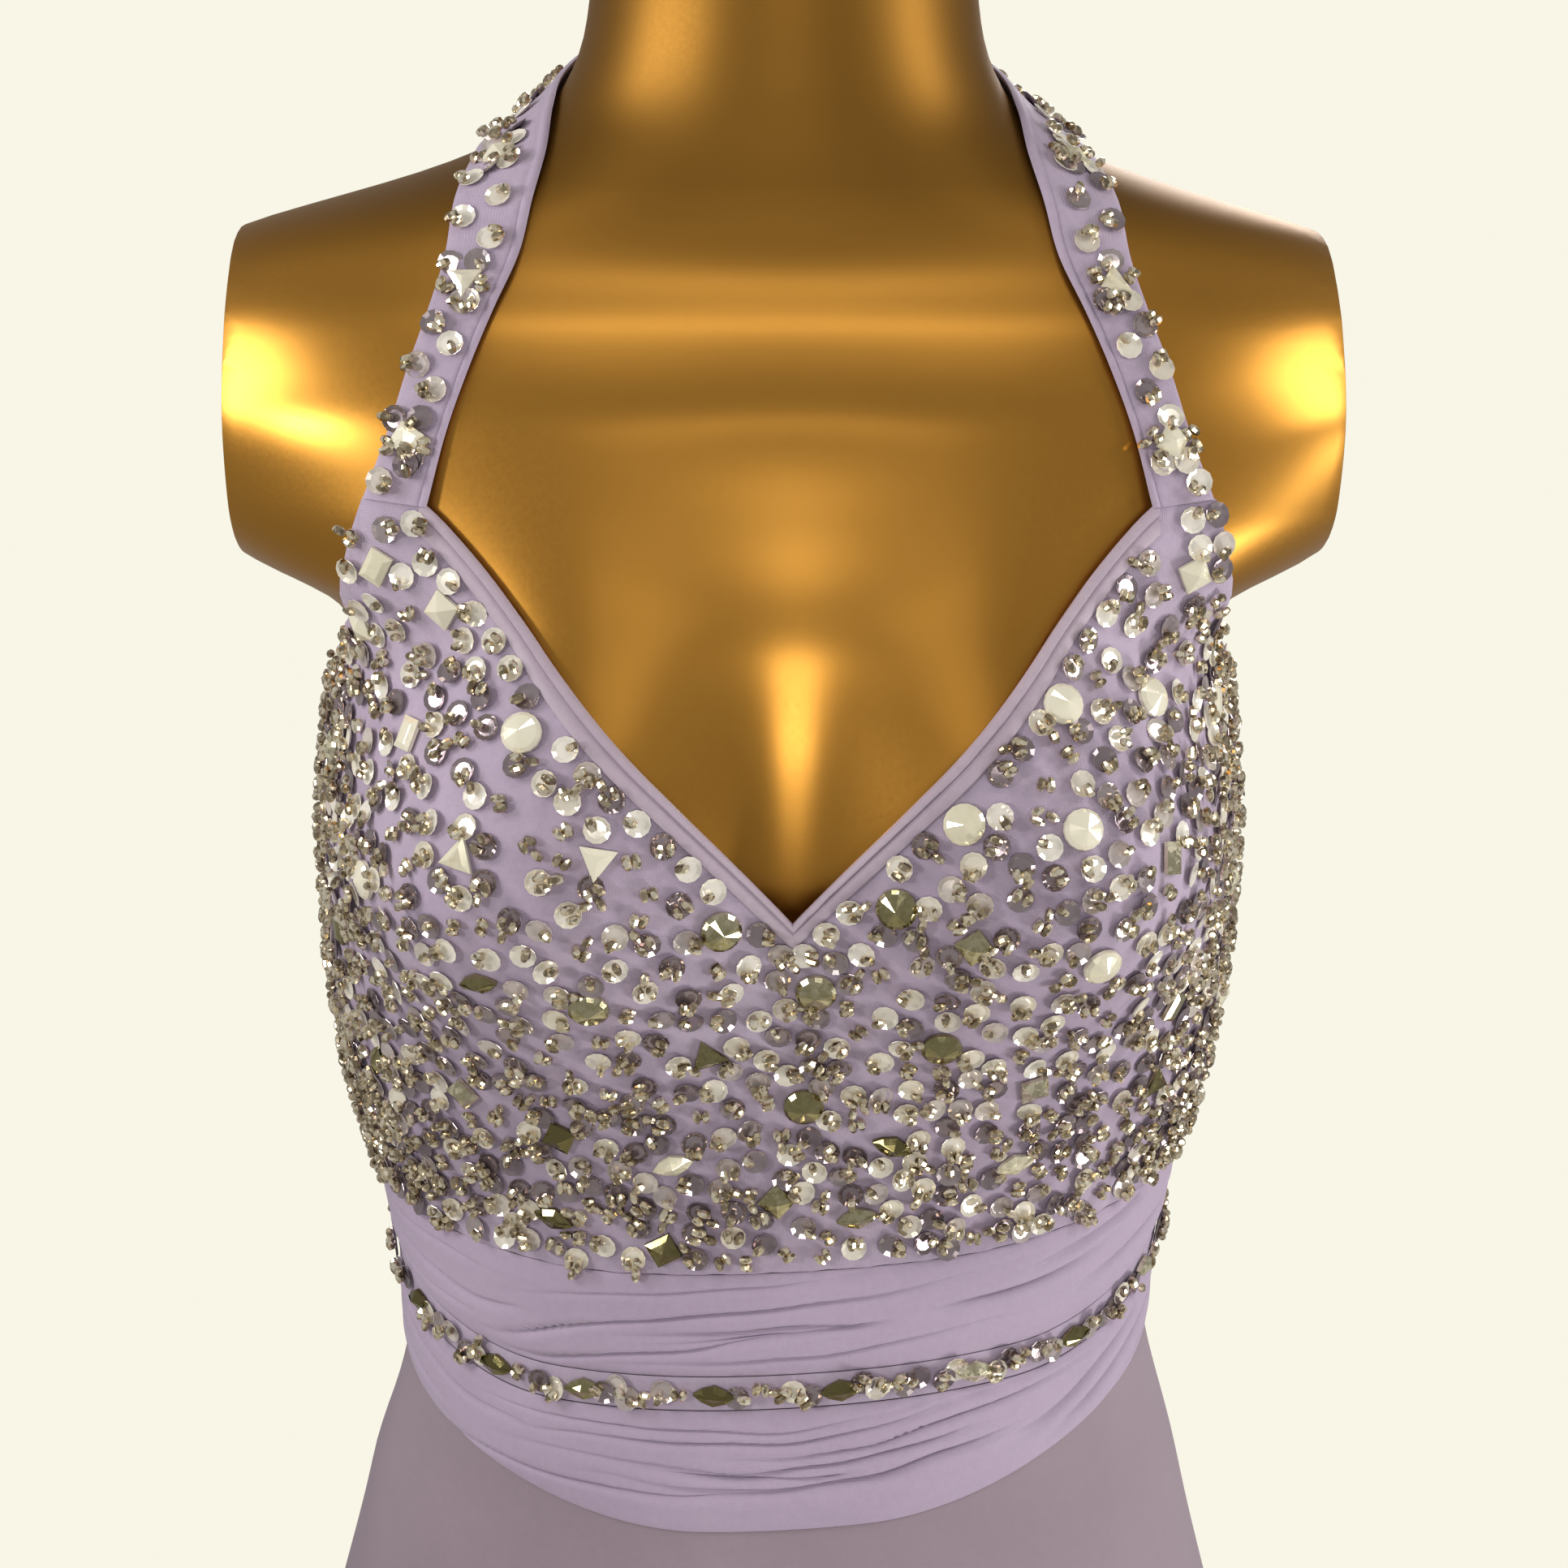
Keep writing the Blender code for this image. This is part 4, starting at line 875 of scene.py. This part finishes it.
def strap_point(frames, step, share, lift):
    inner, middle, outer, normal, _ = frames[step]
    bent = inner * (1 - share) * (1 - 2 * share) + middle * 4 * share * (1 - share)
    return bent + outer * share * (2 * share - 1) + normal * lift


# Across a strap from its neck side: share of the width, and lift off the under face
STRAP_PROFILE = [
    (0.0, 0.0010), (0.02, 0.0016), (0.05, 0.0020), (0.09, 0.0020), (0.12, 0.0015), (0.15, 0.0018),
    (0.22, 0.0018), (0.35, 0.0018), (0.50, 0.0018), (0.65, 0.0018), (0.80, 0.0018), (0.92, 0.0018),
    (0.97, 0.0016), (1.0, 0.0010),
]


def halter_strap(name, sign, lap_lift):
    """A strip with a fine turned edge on its neck side, plain beside it and beaded beyond."""
    frames = strap_frames(sign, lap_lift)
    into_bodice = (frames[0][1] - frames[1][1]).normalized() * STRAP_OVERLAP

    def shaped(step, across):
        point = strap_point(frames, step, *across)
        return point + into_bodice if step == 0 else point

    strap = curved_sheet(f"{name}_cloth", list(range(len(frames))), STRAP_PROFILE, shaped, (0.29, 0.022))
    if sign < 0:
        strap.data.flip_normals()
    check = strap.data.polygons[len(strap.data.polygons) // 2]
    if check.normal.dot(Vector((check.center.x, check.center.y, 0.05))) < 0:
        strap.data.flip_normals()
    return sewn(strap, STRAP_SHEET_WALL, LILAC_SATIN, "beaded_cloth", name), frames


BUTTON_RADIUS, BUTTON_DOME, BUTTON_UNDERSIDE, BUTTON_FOOT = 0.0055, 0.58, 0.06, 0.00165


def neck_button():
    """A cloth-covered button: a domed disc with a turned-in rim."""
    low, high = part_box("neck_button")
    centre = (low + high) / 2
    back = strap_frames(1, STRAP_LAP)
    normal = min(back, key=lambda f: (f[1] - centre).length)[3]
    pick_nothing()
    bpy.ops.mesh.primitive_uv_sphere_add(segments=28, ring_count=14, radius=BUTTON_RADIUS, location=(0, 0, 0))
    button = bpy.context.object
    button.name = button.data.name = "neck_button_covered"
    for corner in button.data.vertices:
        corner.co.z = max(corner.co.z, 0.0) * BUTTON_DOME + min(corner.co.z, 0.0) * BUTTON_UNDERSIDE
    turn = Vector((0, 0, 1)).rotation_difference(normal).to_matrix().to_4x4()
    foot = centre - normal * BUTTON_FOOT
    button.data.transform(Matrix.Translation(foot) @ turn)
    smooth_shading(button, 60)
    dress_piece(button, LILAC_BINDING, "satin", "neck_button")


# Beading: each motif is modelled once and copied


def taken_apart(made):
    """The corners and faces of a small model, which is then deleted."""
    corners = [v.co.copy() for v in made.data.vertices]
    faces = [tuple(p.vertices) for p in made.data.polygons]
    bpy.data.objects.remove(made)
    return corners, faces


WAIST_BEAD_LIFT = 0.0008
STONE_LIFT = 0.0002
SEQUIN_LIFT = 0.0011
SEQUIN_RADIUS, SEQUIN_RIM, SEQUIN_FLAT, SEQUIN_DEPTH = 0.0038, 0.0011, 0.68, 0.0006
SEQUIN_WALL, SEQUIN_DIP = 0.00018, 0.00004
BEAD_HALF_LENGTH, BEAD_RADIUS = 0.0024, 0.00140
BEAD_PINCHED_BEYOND, BEAD_PINCH = 0.0023, 0.80


def cup_sequin():
    """A cupped disc: flat in the middle, its rim turned up in crisp facets."""
    pick_nothing()
    bpy.ops.mesh.primitive_circle_add(
        vertices=11, radius=SEQUIN_RADIUS, fill_type="NOTHING", location=(0, 0, SEQUIN_RIM)
    )
    cup = bpy.context.object
    open_mesh()
    bpy.ops.mesh.extrude_region_move()
    bpy.ops.transform.resize(value=(SEQUIN_FLAT, SEQUIN_FLAT, SEQUIN_FLAT))
    bpy.ops.transform.translate(value=(0, 0, -SEQUIN_DEPTH))
    bpy.ops.mesh.edge_face_add()
    bpy.ops.mesh.poke(offset=-SEQUIN_DIP)
    bpy.ops.mesh.select_all(action="SELECT")
    bpy.ops.mesh.normals_make_consistent(inside=False)
    close_mesh()
    if sum(p.normal.z for p in cup.data.polygons) < 0:
        cup.data.flip_normals()
    apply_step(cup, "SOLIDIFY", thickness=SEQUIN_WALL, offset=-1.0)
    return taken_apart(cup)


def glass_bead():
    """A small drawn bead, a little pinched at its two ends. Its length lies along X."""
    pick_nothing()
    bpy.ops.mesh.primitive_uv_sphere_add(segments=8, ring_count=5, radius=1.0, rotation=(0, math.pi / 2, 0))
    bead = bpy.context.object
    bpy.ops.object.transform_apply(location=False, rotation=True, scale=False)
    open_mesh()
    bpy.ops.transform.resize(value=(BEAD_HALF_LENGTH, BEAD_RADIUS, BEAD_RADIUS))
    close_mesh()
    for corner in bead.data.vertices:
        if abs(corner.co.x) > BEAD_PINCHED_BEYOND:
            corner.co.x *= BEAD_PINCH
    return taken_apart(bead)


GIRDLE = 0.0012
CORNER_CUT = 0.0011
CROWN_RISE = 0.0009

# Outline of each stone: sides, reach along, reach across, and turn
STONE_OUTLINES = {
    "round": (16, 0.0058, 0.0058, 0.0), "baguette": (4, 0.0066, 0.0050, 45.0),
    "triangle": (3, 0.0062, 0.0062, 90.0), "pillow": (4, 0.0058, 0.0058, 45.0),
    "navette": (10, 0.0066, 0.0034, 0.0),
}


def cut_stone(kind):
    """A flat-backed stone: a girdle, a bevelled crown and a low point or table."""
    sides, long_reach, short_reach, turn = STONE_OUTLINES[kind]
    pick_nothing()
    bpy.ops.mesh.primitive_cylinder_add(
        vertices=sides, radius=1.0, depth=GIRDLE, end_fill_type="NGON", location=(0, 0, GIRDLE / 2),
        rotation=(0, 0, math.radians(turn)),
    )
    stone = bpy.context.object
    bpy.ops.object.transform_apply(location=True, rotation=True, scale=False)
    for corner in stone.data.vertices:
        corner.co.x *= long_reach
        corner.co.y *= short_reach
        if kind == "navette":
            corner.co.y *= max(0.12, 1 - (abs(corner.co.x) / long_reach) ** 2.4)
    if kind in ("triangle", "pillow", "baguette"):
        open_mesh("DESELECT")
        select_where(stone, "edges", lambda edge: abs(edge.verts[0].co.z - edge.verts[1].co.z) > GIRDLE / 2)
        bpy.ops.mesh.bevel(offset=CORNER_CUT, segments=2, affect="EDGES")
        close_mesh()
    open_mesh("DESELECT")
    select_where(stone, "faces", lambda face: face.normal.z > 0.9)
    bpy.ops.mesh.inset(thickness=0.0010 if kind == "round" else 0.0016, depth=CROWN_RISE)
    if kind == "baguette":
        bpy.ops.mesh.inset(thickness=0.0003, depth=0.0001)
    else:
        bpy.ops.mesh.poke(offset=0.0019 if kind == "round" else 0.0013)
    close_mesh()
    return taken_apart(stone)


SEQUIN = cup_sequin()
BEAD = glass_bead()
STONES = {kind: cut_stone(kind) for kind in STONE_OUTLINES}


def surface_frame(angle, height):
    """A point on the bodice or a band, with the directions across, up and out of the cloth."""
    def at(a, h):
        return place(a, bodice_radius(a, h), h)

    across = (at(angle + 0.4, height) - at(angle - 0.4, height)).normalized()
    up = (at(angle, height + 0.0012) - at(angle, height - 0.0012)).normalized()
    out = across.cross(up).normalized()
    return at(angle, height), across, out.cross(across).normalized(), out


class Beading:
    """Collects copies of the small models, and joins each kind into one piece."""

    def __init__(self, name):
        self.name = name
        self.parts = {"sequins": ([], [], []), "beads": ([], [], []), "stones": ([], [], [])}
        self.chance = random.Random(name)

    def add(self, kind, model, matrix):
        corners, faces, tones = self.parts[kind]
        start = len(corners)
        tones.extend([self.chance.random()] * len(model[0]))
        corners.extend(matrix @ v for v in model[0])
        faces.extend(tuple(start + i for i in f) for f in model[1])

    def finish(self):
        materials = {"sequins": SEQUIN_FOIL, "beads": SILVER_LINED_GLASS, "stones": FOILED_CRYSTAL}
        made = []
        for kind, (corners, faces, tones) in self.parts.items():
            if not faces:
                continue
            mesh = bpy.data.meshes.new(f"{self.name}_{kind}")
            mesh.from_pydata(corners, [], faces)
            mesh.update()
            mesh.attributes.new("piece_tone", "FLOAT", "POINT").data.foreach_set("value", tones)
            piece = bpy.data.objects.new(mesh.name, mesh)
            bpy.context.scene.collection.objects.link(piece)
            made.append(dress_piece(piece, materials[kind], "beaded_cloth"))
        return made


def turned(angle, axis="Z"):
    return Matrix.Rotation(angle, 4, axis)


def standing(point, across, up, out, turn, tilt=0.0, tilt_turn=0.0, lift=0.0):
    """The place of a copy: on the cloth, turned in it and tilted a little out of it."""
    base = Matrix((across, up, out)).transposed().to_4x4()
    base.translation = point + out * lift
    tipped = turned(tilt_turn) @ turned(tilt, "X") @ turned(-tilt_turn)
    return base @ tipped @ turned(turn)


def add_bead(beading, chance, ground, turn, along, aside, lift):
    """A bead at a place given in the motif's own directions."""
    shift = Matrix.Translation((along, aside, lift))
    lean = turned(chance.uniform(-0.35, 0.35)) @ turned(chance.uniform(-0.25, 0.25), "Y")
    size = Matrix.Scale(chance.uniform(0.90, 1.08), 4)
    beading.add("beads", BEAD, ground @ turned(turn) @ shift @ lean @ size)


# The beads of a motif: further turn, place along, aside and up, in the motif's own directions
MOTIF_BEADS = {
    "fan": [(0.0, 0.0010, -0.0015, 0.0026), (0.20, 0.0012, 0.0015, 0.0026)],
    "stack": [(0.0, 0.0024, -0.0014, 0.0024), (-0.3, 0.0020, 0.0016, 0.0025)],
    "cross": [(0.0, 0.0022, 0.0, 0.0025)],
    "pair": [(0.0, 0.0001, -0.0013, 0.0013), (0.15, 0.0, 0.0013, 0.0013)],
}

# One more bead, in this share of the motifs of its kind
SPARE_BEADS = {"fan": (0.5, (0.0050, 0.0003, 0.0016)), "pair": (0.3, (0.0041, 0.0004, 0.0013))}


def bead_motif(beading, chance, frame_at, kind=None):
    """One sewn motif: a sequin held by a few beads, or a short row of beads."""
    turn = chance.uniform(0, 2 * math.pi)
    kind = kind or chance.choices(["fan", "stack", "pair", "cross"], [5, 4, 3, 3])[0]
    ground = standing(*frame_at, 0.0)
    if kind != "pair":
        tilt = abs(chance.gauss(0.0, 0.15))
        own_turn, tilt_turn = chance.uniform(0, 0.6), chance.uniform(0, 2 * math.pi)
        beading.add("sequins", SEQUIN, standing(*frame_at, own_turn, tilt, tilt_turn, SEQUIN_LIFT))
    for further, *spot in MOTIF_BEADS[kind]:
        add_bead(beading, chance, ground, turn + further, *spot)
    if kind in SPARE_BEADS:
        share, spot = SPARE_BEADS[kind]
        if chance.random() < share:
            add_bead(beading, chance, ground, turn, *spot)


class Scatter:
    """Places that keep their distance from one another."""

    CELL = 0.012

    def __init__(self):
        self.cells = {}

    def free(self, point, reach):
        cell = tuple(int(c // self.CELL) for c in point)
        for i in (-1, 0, 1):
            for j in (-1, 0, 1):
                for k in (-1, 0, 1):
                    for other, room in self.cells.get((cell[0] + i, cell[1] + j, cell[2] + k), ()):
                        if (other - point).length < max(reach, room):
                            return False
        return True

    def take(self, point, room=0.0):
        cell = tuple(int(c // self.CELL) for c in point)
        self.cells.setdefault(cell, []).append((point, room))


def bodice_spacing(angle, height):
    """Open in the upper cups, close under the bust and round the sides."""
    low = smooth_step((1.165 - height) / 0.045)
    side = smooth_step((abs(angle) - 50.0) / 18.0)
    return 0.0077 - 0.0013 * low - 0.0016 * side


def place_stone(beading, kind, frame_at, turn, scale=1.0):
    place_at = standing(*frame_at, math.radians(turn), lift=STONE_LIFT) @ Matrix.Scale(scale, 4)
    beading.add("stones", STONES[kind], place_at)


# The row of motifs along the V: angles, drop below the edge, step and clearance
EDGE_ROW_START, EDGE_ROW_END, EDGE_ROW_STEP = 1.6, 49.0, 3.0
EDGE_ROW_DROP, EDGE_ROW_ROOM = 0.0122, 0.006

# Plain margins of the bodice: at the side seams in degrees, then at its lower and upper edges
SIDE_SEAM_MARGIN = 1.2
UNDERBUST_MARGIN = 0.0030
V_MARGIN, V_MARGIN_END, UNDERARM_MARGIN = 0.0118, 51.0, 0.0040


def bead_the_bodice(part, start, end, stones, seed):
    chance = random.Random(seed)
    beading, scatter = Beading(f"bodice_{part}"), Scatter()
    for kind, angle, height, turn in stones:
        spot = surface_frame(angle, height)
        place_stone(beading, kind, spot, turn)
        scatter.take(spot[0], STONE_CLEARANCE[kind])
    if part == "front":
        for side in (-1, 1):
            angle = EDGE_ROW_START
            while angle < EDGE_ROW_END:
                spot = surface_frame(side * angle, bodice_edge(angle) - EDGE_ROW_DROP)
                if scatter.free(spot[0], EDGE_ROW_ROOM):
                    bead_motif(beading, chance, spot, chance.choice(["cross", "fan", "stack"]))
                    scatter.take(spot[0])
                angle += EDGE_ROW_STEP
    for _ in range(26000 if part == "front" else 9000):
        angle = chance.uniform(start + SIDE_SEAM_MARGIN, end - SIDE_SEAM_MARGIN)
        low = seam_height(UNDERBUST_SEAM, angle) + UNDERBUST_MARGIN
        high = bodice_edge(angle) - (V_MARGIN if abs(angle) < V_MARGIN_END else UNDERARM_MARGIN)
        height = low + (high - low) * chance.random()
        spot = surface_frame(angle, height)
        reach = bodice_spacing(angle, height)
        if scatter.free(spot[0], reach):
            bead_motif(beading, chance, spot)
            scatter.take(spot[0])
    return beading.finish()


WAIST_STONE_ROOM, WAIST_SPACING = 0.0064, 0.0047


def bead_the_waistband(part, start, end, stones, seed):
    """Navettes in a narrow strip, with beads and sequins between them."""
    chance = random.Random(seed)
    beading, scatter = Beading(f"beaded_waistband_{part}"), Scatter()

    def spot_at(angle, share):
        low, high = seam_height(TRIM_BOTTOM_SEAM, angle), seam_height(TRIM_TOP_SEAM, angle)
        point, across, up, out = surface_frame(angle, low + (high - low) * share)
        return point + out * (BAND_REACH - BODICE_REACH + WAIST_BEAD_LIFT), across, up, out

    for angle, turn in stones:
        if start < angle < end:
            spot = spot_at(angle, 0.5)
            place_stone(beading, "navette", spot, turn)
            scatter.take(spot[0], WAIST_STONE_ROOM)
    for _ in range(5200 if part == "front" else 2600):
        angle = chance.uniform(start + 1.0, end - 1.0)
        spot = spot_at(angle, chance.uniform(0.32, 0.68))
        if scatter.free(spot[0], WAIST_SPACING):
            bead_motif(beading, chance, spot, chance.choice(["fan", "pair", "cross", "stack"]))
            scatter.take(spot[0])
    return beading.finish()


STRAP_ROW, STRAP_STONE_ROOM, STRAP_STONE_SIZE = 0.0068, 0.0062, 0.92
STRAP_RING_ACROSS, STRAP_RING_UP = 0.0062, 0.0070


def bead_the_strap(name, frames, sign, seed):
    """Two staggered columns of motifs, and a stone with a ring of sequins every few of them."""
    chance = random.Random(seed)
    beading = Beading(name)
    travelled, next_row, row = 0.0, 0.006, 0
    for step in range(len(frames) - 6):
        travelled += (frames[step + 1][1] - frames[step][1]).length
        if travelled < next_row:
            continue
        next_row += STRAP_ROW
        row += 1
        inner, _, outer, normal, along = frames[step]
        across = (outer - inner).normalized()
        up = normal.cross(across).normalized()
        if row % 6 == 3:
            spot = (strap_point(frames, step, 0.60, STRAP_WALL), across, up, normal)
            place_stone(beading, ("pillow", "triangle")[row // 6 % 2], spot, 30 + 40 * row, STRAP_STONE_SIZE)
            for turn in range(5):
                swing = math.radians(72 * turn + 20)
                shift = across * math.cos(swing) * STRAP_RING_ACROSS + up * math.sin(swing) * STRAP_RING_UP
                reach, kind = (1.0, "cross") if abs(math.cos(swing)) < 0.75 else (0.9, "pair")
                bead_motif(beading, chance, (spot[0] + shift * reach, across, up, normal), kind)
            next_row += STRAP_STONE_ROOM
            continue
        share = 0.82 if row % 2 else 0.42
        spot = (strap_point(frames, step, share, STRAP_WALL), across, up, normal)
        bead_motif(beading, chance, spot, "stack" if row % 3 else "cross")
    return beading.finish()


# Putting the dress together


dress_form()
METAL_PARTS = {
    "form_flange": STEEL, "stand_pole": STEEL, "stand_collar": STEEL, "stand_base": STEEL,
    "zip_slider": ZIP_METAL, "zip_pull": ZIP_METAL,
}
for node, metal in METAL_PARTS.items():
    NODES[node].data.materials.clear()
    NODES[node].data.materials.append(metal)

for part, start, end in PANELS:
    wide = part == "front"
    bodice_cloth = bodice_panel(part, start, end)
    if wide:
        stones = FRONT_STONES
    else:
        side = 1 if part == "back_left" else -1
        stones = [(kind, side * angle, height, turn) for kind, angle, height, turn in BACK_STONES]
    beads = bead_the_bodice(part, start, end, stones, 11 if wide else 12 + len(part))
    upper = band_panel(
        "upper_ruched_band", part, start, end, (TRIM_TOP_SEAM, UNDERBUST_SEAM), UPPER_CREASES, 0.0014,
        LILAC_CHIFFON, "chiffon", 92 if wide else 60, 1.5,
    )
    waist = band_panel(
        "beaded_waistband", part, start, end, (TRIM_BOTTOM_SEAM, TRIM_TOP_SEAM), [], 0.0004,
        LILAC_SATIN, "beaded_cloth", 10, 2.0,
    )
    waist_beads = bead_the_waistband(part, start, end, WAIST_STONES, 31 + len(part))
    lower = band_panel(
        "lower_ruched_band", part, start, end, (SKIRT_SEAM, TRIM_BOTTOM_SEAM), LOWER_CREASES, 0.0014,
        LILAC_CHIFFON, "chiffon", 104 if wide else 66, 1.5,
    )
    skirt = skirt_panel(part, start, end)

binding = neckline_binding()
for name, sign, lap_lift in (("halter_strap_left", 1, STRAP_LAP), ("halter_strap_right", -1, 0.0)):
    strap, frames = halter_strap(name, sign, lap_lift)
    beads = bead_the_strap(name, frames, sign, 41 + sign)
neck_button()


# Floor, backdrop, light and camera


WARM, PLAIN = (1.0, 0.96, 0.90), (1.0, 0.97, 0.94)

# Soft lamps: place, the point they face, width, height, watts and tint
SOFTBOXES = {
    "overhead": ((0.0, -0.55, 2.30), (0.0, -0.02, 1.30), 0.9, 0.10, 1.6, WARM),
    "overhead_front": ((0.0, -1.50, 1.95), (0.0, -0.02, 1.30), 0.8, 0.10, 0.6, WARM),
    "near_front": ((0.0, -0.87, 1.26), (0.0, 0.0, 1.26), 0.34, 0.08, 1.0, WARM),
    "left": ((-1.50, -1.20, 1.60), (-0.05, 0.0, 1.25), 0.25, 0.3, 9.0, PLAIN),
    "left_shoulder": ((-0.60, -0.21, 1.54), (-0.15, -0.03, 1.36), 0.20, 0.30, 1.9, PLAIN),
    "right_shoulder": ((0.60, -0.21, 1.54), (0.15, -0.03, 1.36), 0.20, 0.30, 1.5, PLAIN),
    "right_side": ((1.70, -0.45, 1.05), (0.0, 0.0, 1.25), 0.35, 0.4, 2.7, PLAIN),
    "right_low": ((1.10, -0.60, 0.55), (0.0, 0.0, 1.30), 0.4, 0.4, 9.0, PLAIN),
    "back": ((0.6, 2.8, 2.3), (0.0, 0.0, 0.9), 1.4, 1.0, 26, PLAIN),
}


def softbox(name, location, target, width, height, power, colour):
    lamp = bpy.data.lights.new(name, "AREA")
    lamp.shape = "RECTANGLE"
    lamp.size, lamp.size_y, lamp.energy, lamp.color = width, height, power, colour
    holder = bpy.data.objects.new(name, lamp)
    bpy.context.scene.collection.objects.link(holder)
    holder.location = location
    holder.visible_camera = False
    holder.rotation_mode = "QUATERNION"
    holder.rotation_quaternion = (Vector(target) - Vector(location)).to_track_quat("-Z", "Y")


def studio_floor():
    """A pale disc that fades out into the backdrop."""
    pick_nothing()
    bpy.ops.mesh.primitive_circle_add(vertices=96, radius=1.45, fill_type="NGON", location=(0, 0, 0))
    floor = bpy.context.object
    floor.name = "studio_floor"
    finish = Finish("pale_floor")
    reach = finish.add("VectorMath", {0: finish.where["Object"]}, "Value", operation="LENGTH")
    creams = [(0.3, (0.82, 0.79, 0.68)), (0.7, (0.85, 0.82, 0.71))]
    fade = finish.ranged(reach, (0.55, 1.42), (1.0, 0.0), interpolation_type="SMOOTHSTEP")
    finish.surface({"Base Color": finish.tones(finish.speckle(3.0), creams), "Roughness": 0.7, "Alpha": fade})
    floor.data.materials.append(finish.material)


def studio_backdrop():
    """A cream room that lights nothing and shows only behind the dress."""
    pick_nothing()
    bpy.ops.mesh.primitive_uv_sphere_add(segments=48, ring_count=24, radius=9.0, location=(0, 0, 1.0))
    backdrop = bpy.context.object
    backdrop.name = "studio_backdrop"
    backdrop.data.flip_normals()
    glow = bpy.data.materials.new("cream_backdrop")
    glow.use_nodes = True
    nodes = glow.node_tree.nodes
    nodes.remove(nodes["Principled BSDF"])
    light = nodes.new("ShaderNodeEmission")
    light.inputs["Color"].default_value = (0.947, 0.921, 0.799, 1.0)
    light.inputs["Strength"].default_value = 1.0
    glow.node_tree.links.new(light.outputs["Emission"], nodes["Material Output"].inputs["Surface"])
    backdrop.data.materials.append(glow)
    backdrop.visible_diffuse = backdrop.visible_glossy = False
    backdrop.visible_transmission = backdrop.visible_volume_scatter = backdrop.visible_shadow = False


def studio_light():
    world = bpy.data.worlds.new("studio")
    world.use_nodes = True
    world.node_tree.nodes["Background"].inputs["Color"].default_value = (1.0, 0.97, 0.93, 1.0)
    world.node_tree.nodes["Background"].inputs["Strength"].default_value = 0.30
    bpy.context.scene.world = world
    for name, lamp in SOFTBOXES.items():
        softbox(f"{name}_softbox", *lamp)


CAMERA_DISTANCE = 0.800
CAMERA_HEIGHT = 1.433
CAMERA_TURN = math.radians(-2.0)
CAMERA_PITCH = math.radians(14.8)
CAMERA_ROLL = math.radians(0.4)
CAMERA_AIM = math.radians(-0.111)
CAMERA_LENS = 59.63


def studio_camera():
    """A close camera a little above the neckline, looking down at the bust."""
    data = bpy.data.cameras.new("studio_camera")
    data.lens, data.sensor_width = CAMERA_LENS, 36.0
    data.clip_start, data.clip_end = 0.02, 60.0
    holder = bpy.data.objects.new("studio_camera", data)
    bpy.context.scene.collection.objects.link(holder)
    stand_at = Vector((
        math.sin(CAMERA_TURN) * CAMERA_DISTANCE, -math.cos(CAMERA_TURN) * CAMERA_DISTANCE, CAMERA_HEIGHT
    ))
    ahead = Vector((
        -math.sin(CAMERA_TURN) * math.cos(CAMERA_PITCH),
        math.cos(CAMERA_TURN) * math.cos(CAMERA_PITCH),
        -math.sin(CAMERA_PITCH),
    ))
    ahead = Matrix.Rotation(CAMERA_AIM, 3, "Z") @ ahead
    right = ahead.cross(Vector((0, 0, 1))).normalized()
    up = right.cross(ahead)
    rolled_right = right * math.cos(CAMERA_ROLL) + up * math.sin(CAMERA_ROLL)
    rolled_up = up * math.cos(CAMERA_ROLL) - right * math.sin(CAMERA_ROLL)
    axes = Matrix((rolled_right, rolled_up, -ahead)).transposed().to_4x4()
    axes.translation = stand_at
    holder.matrix_world = axes
    bpy.context.scene.camera = holder


studio_floor()
studio_backdrop()
studio_light()
studio_camera()
bpy.context.scene.view_settings.view_transform = "Standard"
bpy.context.scene.view_settings.look = "None"
bpy.context.view_layer.update()
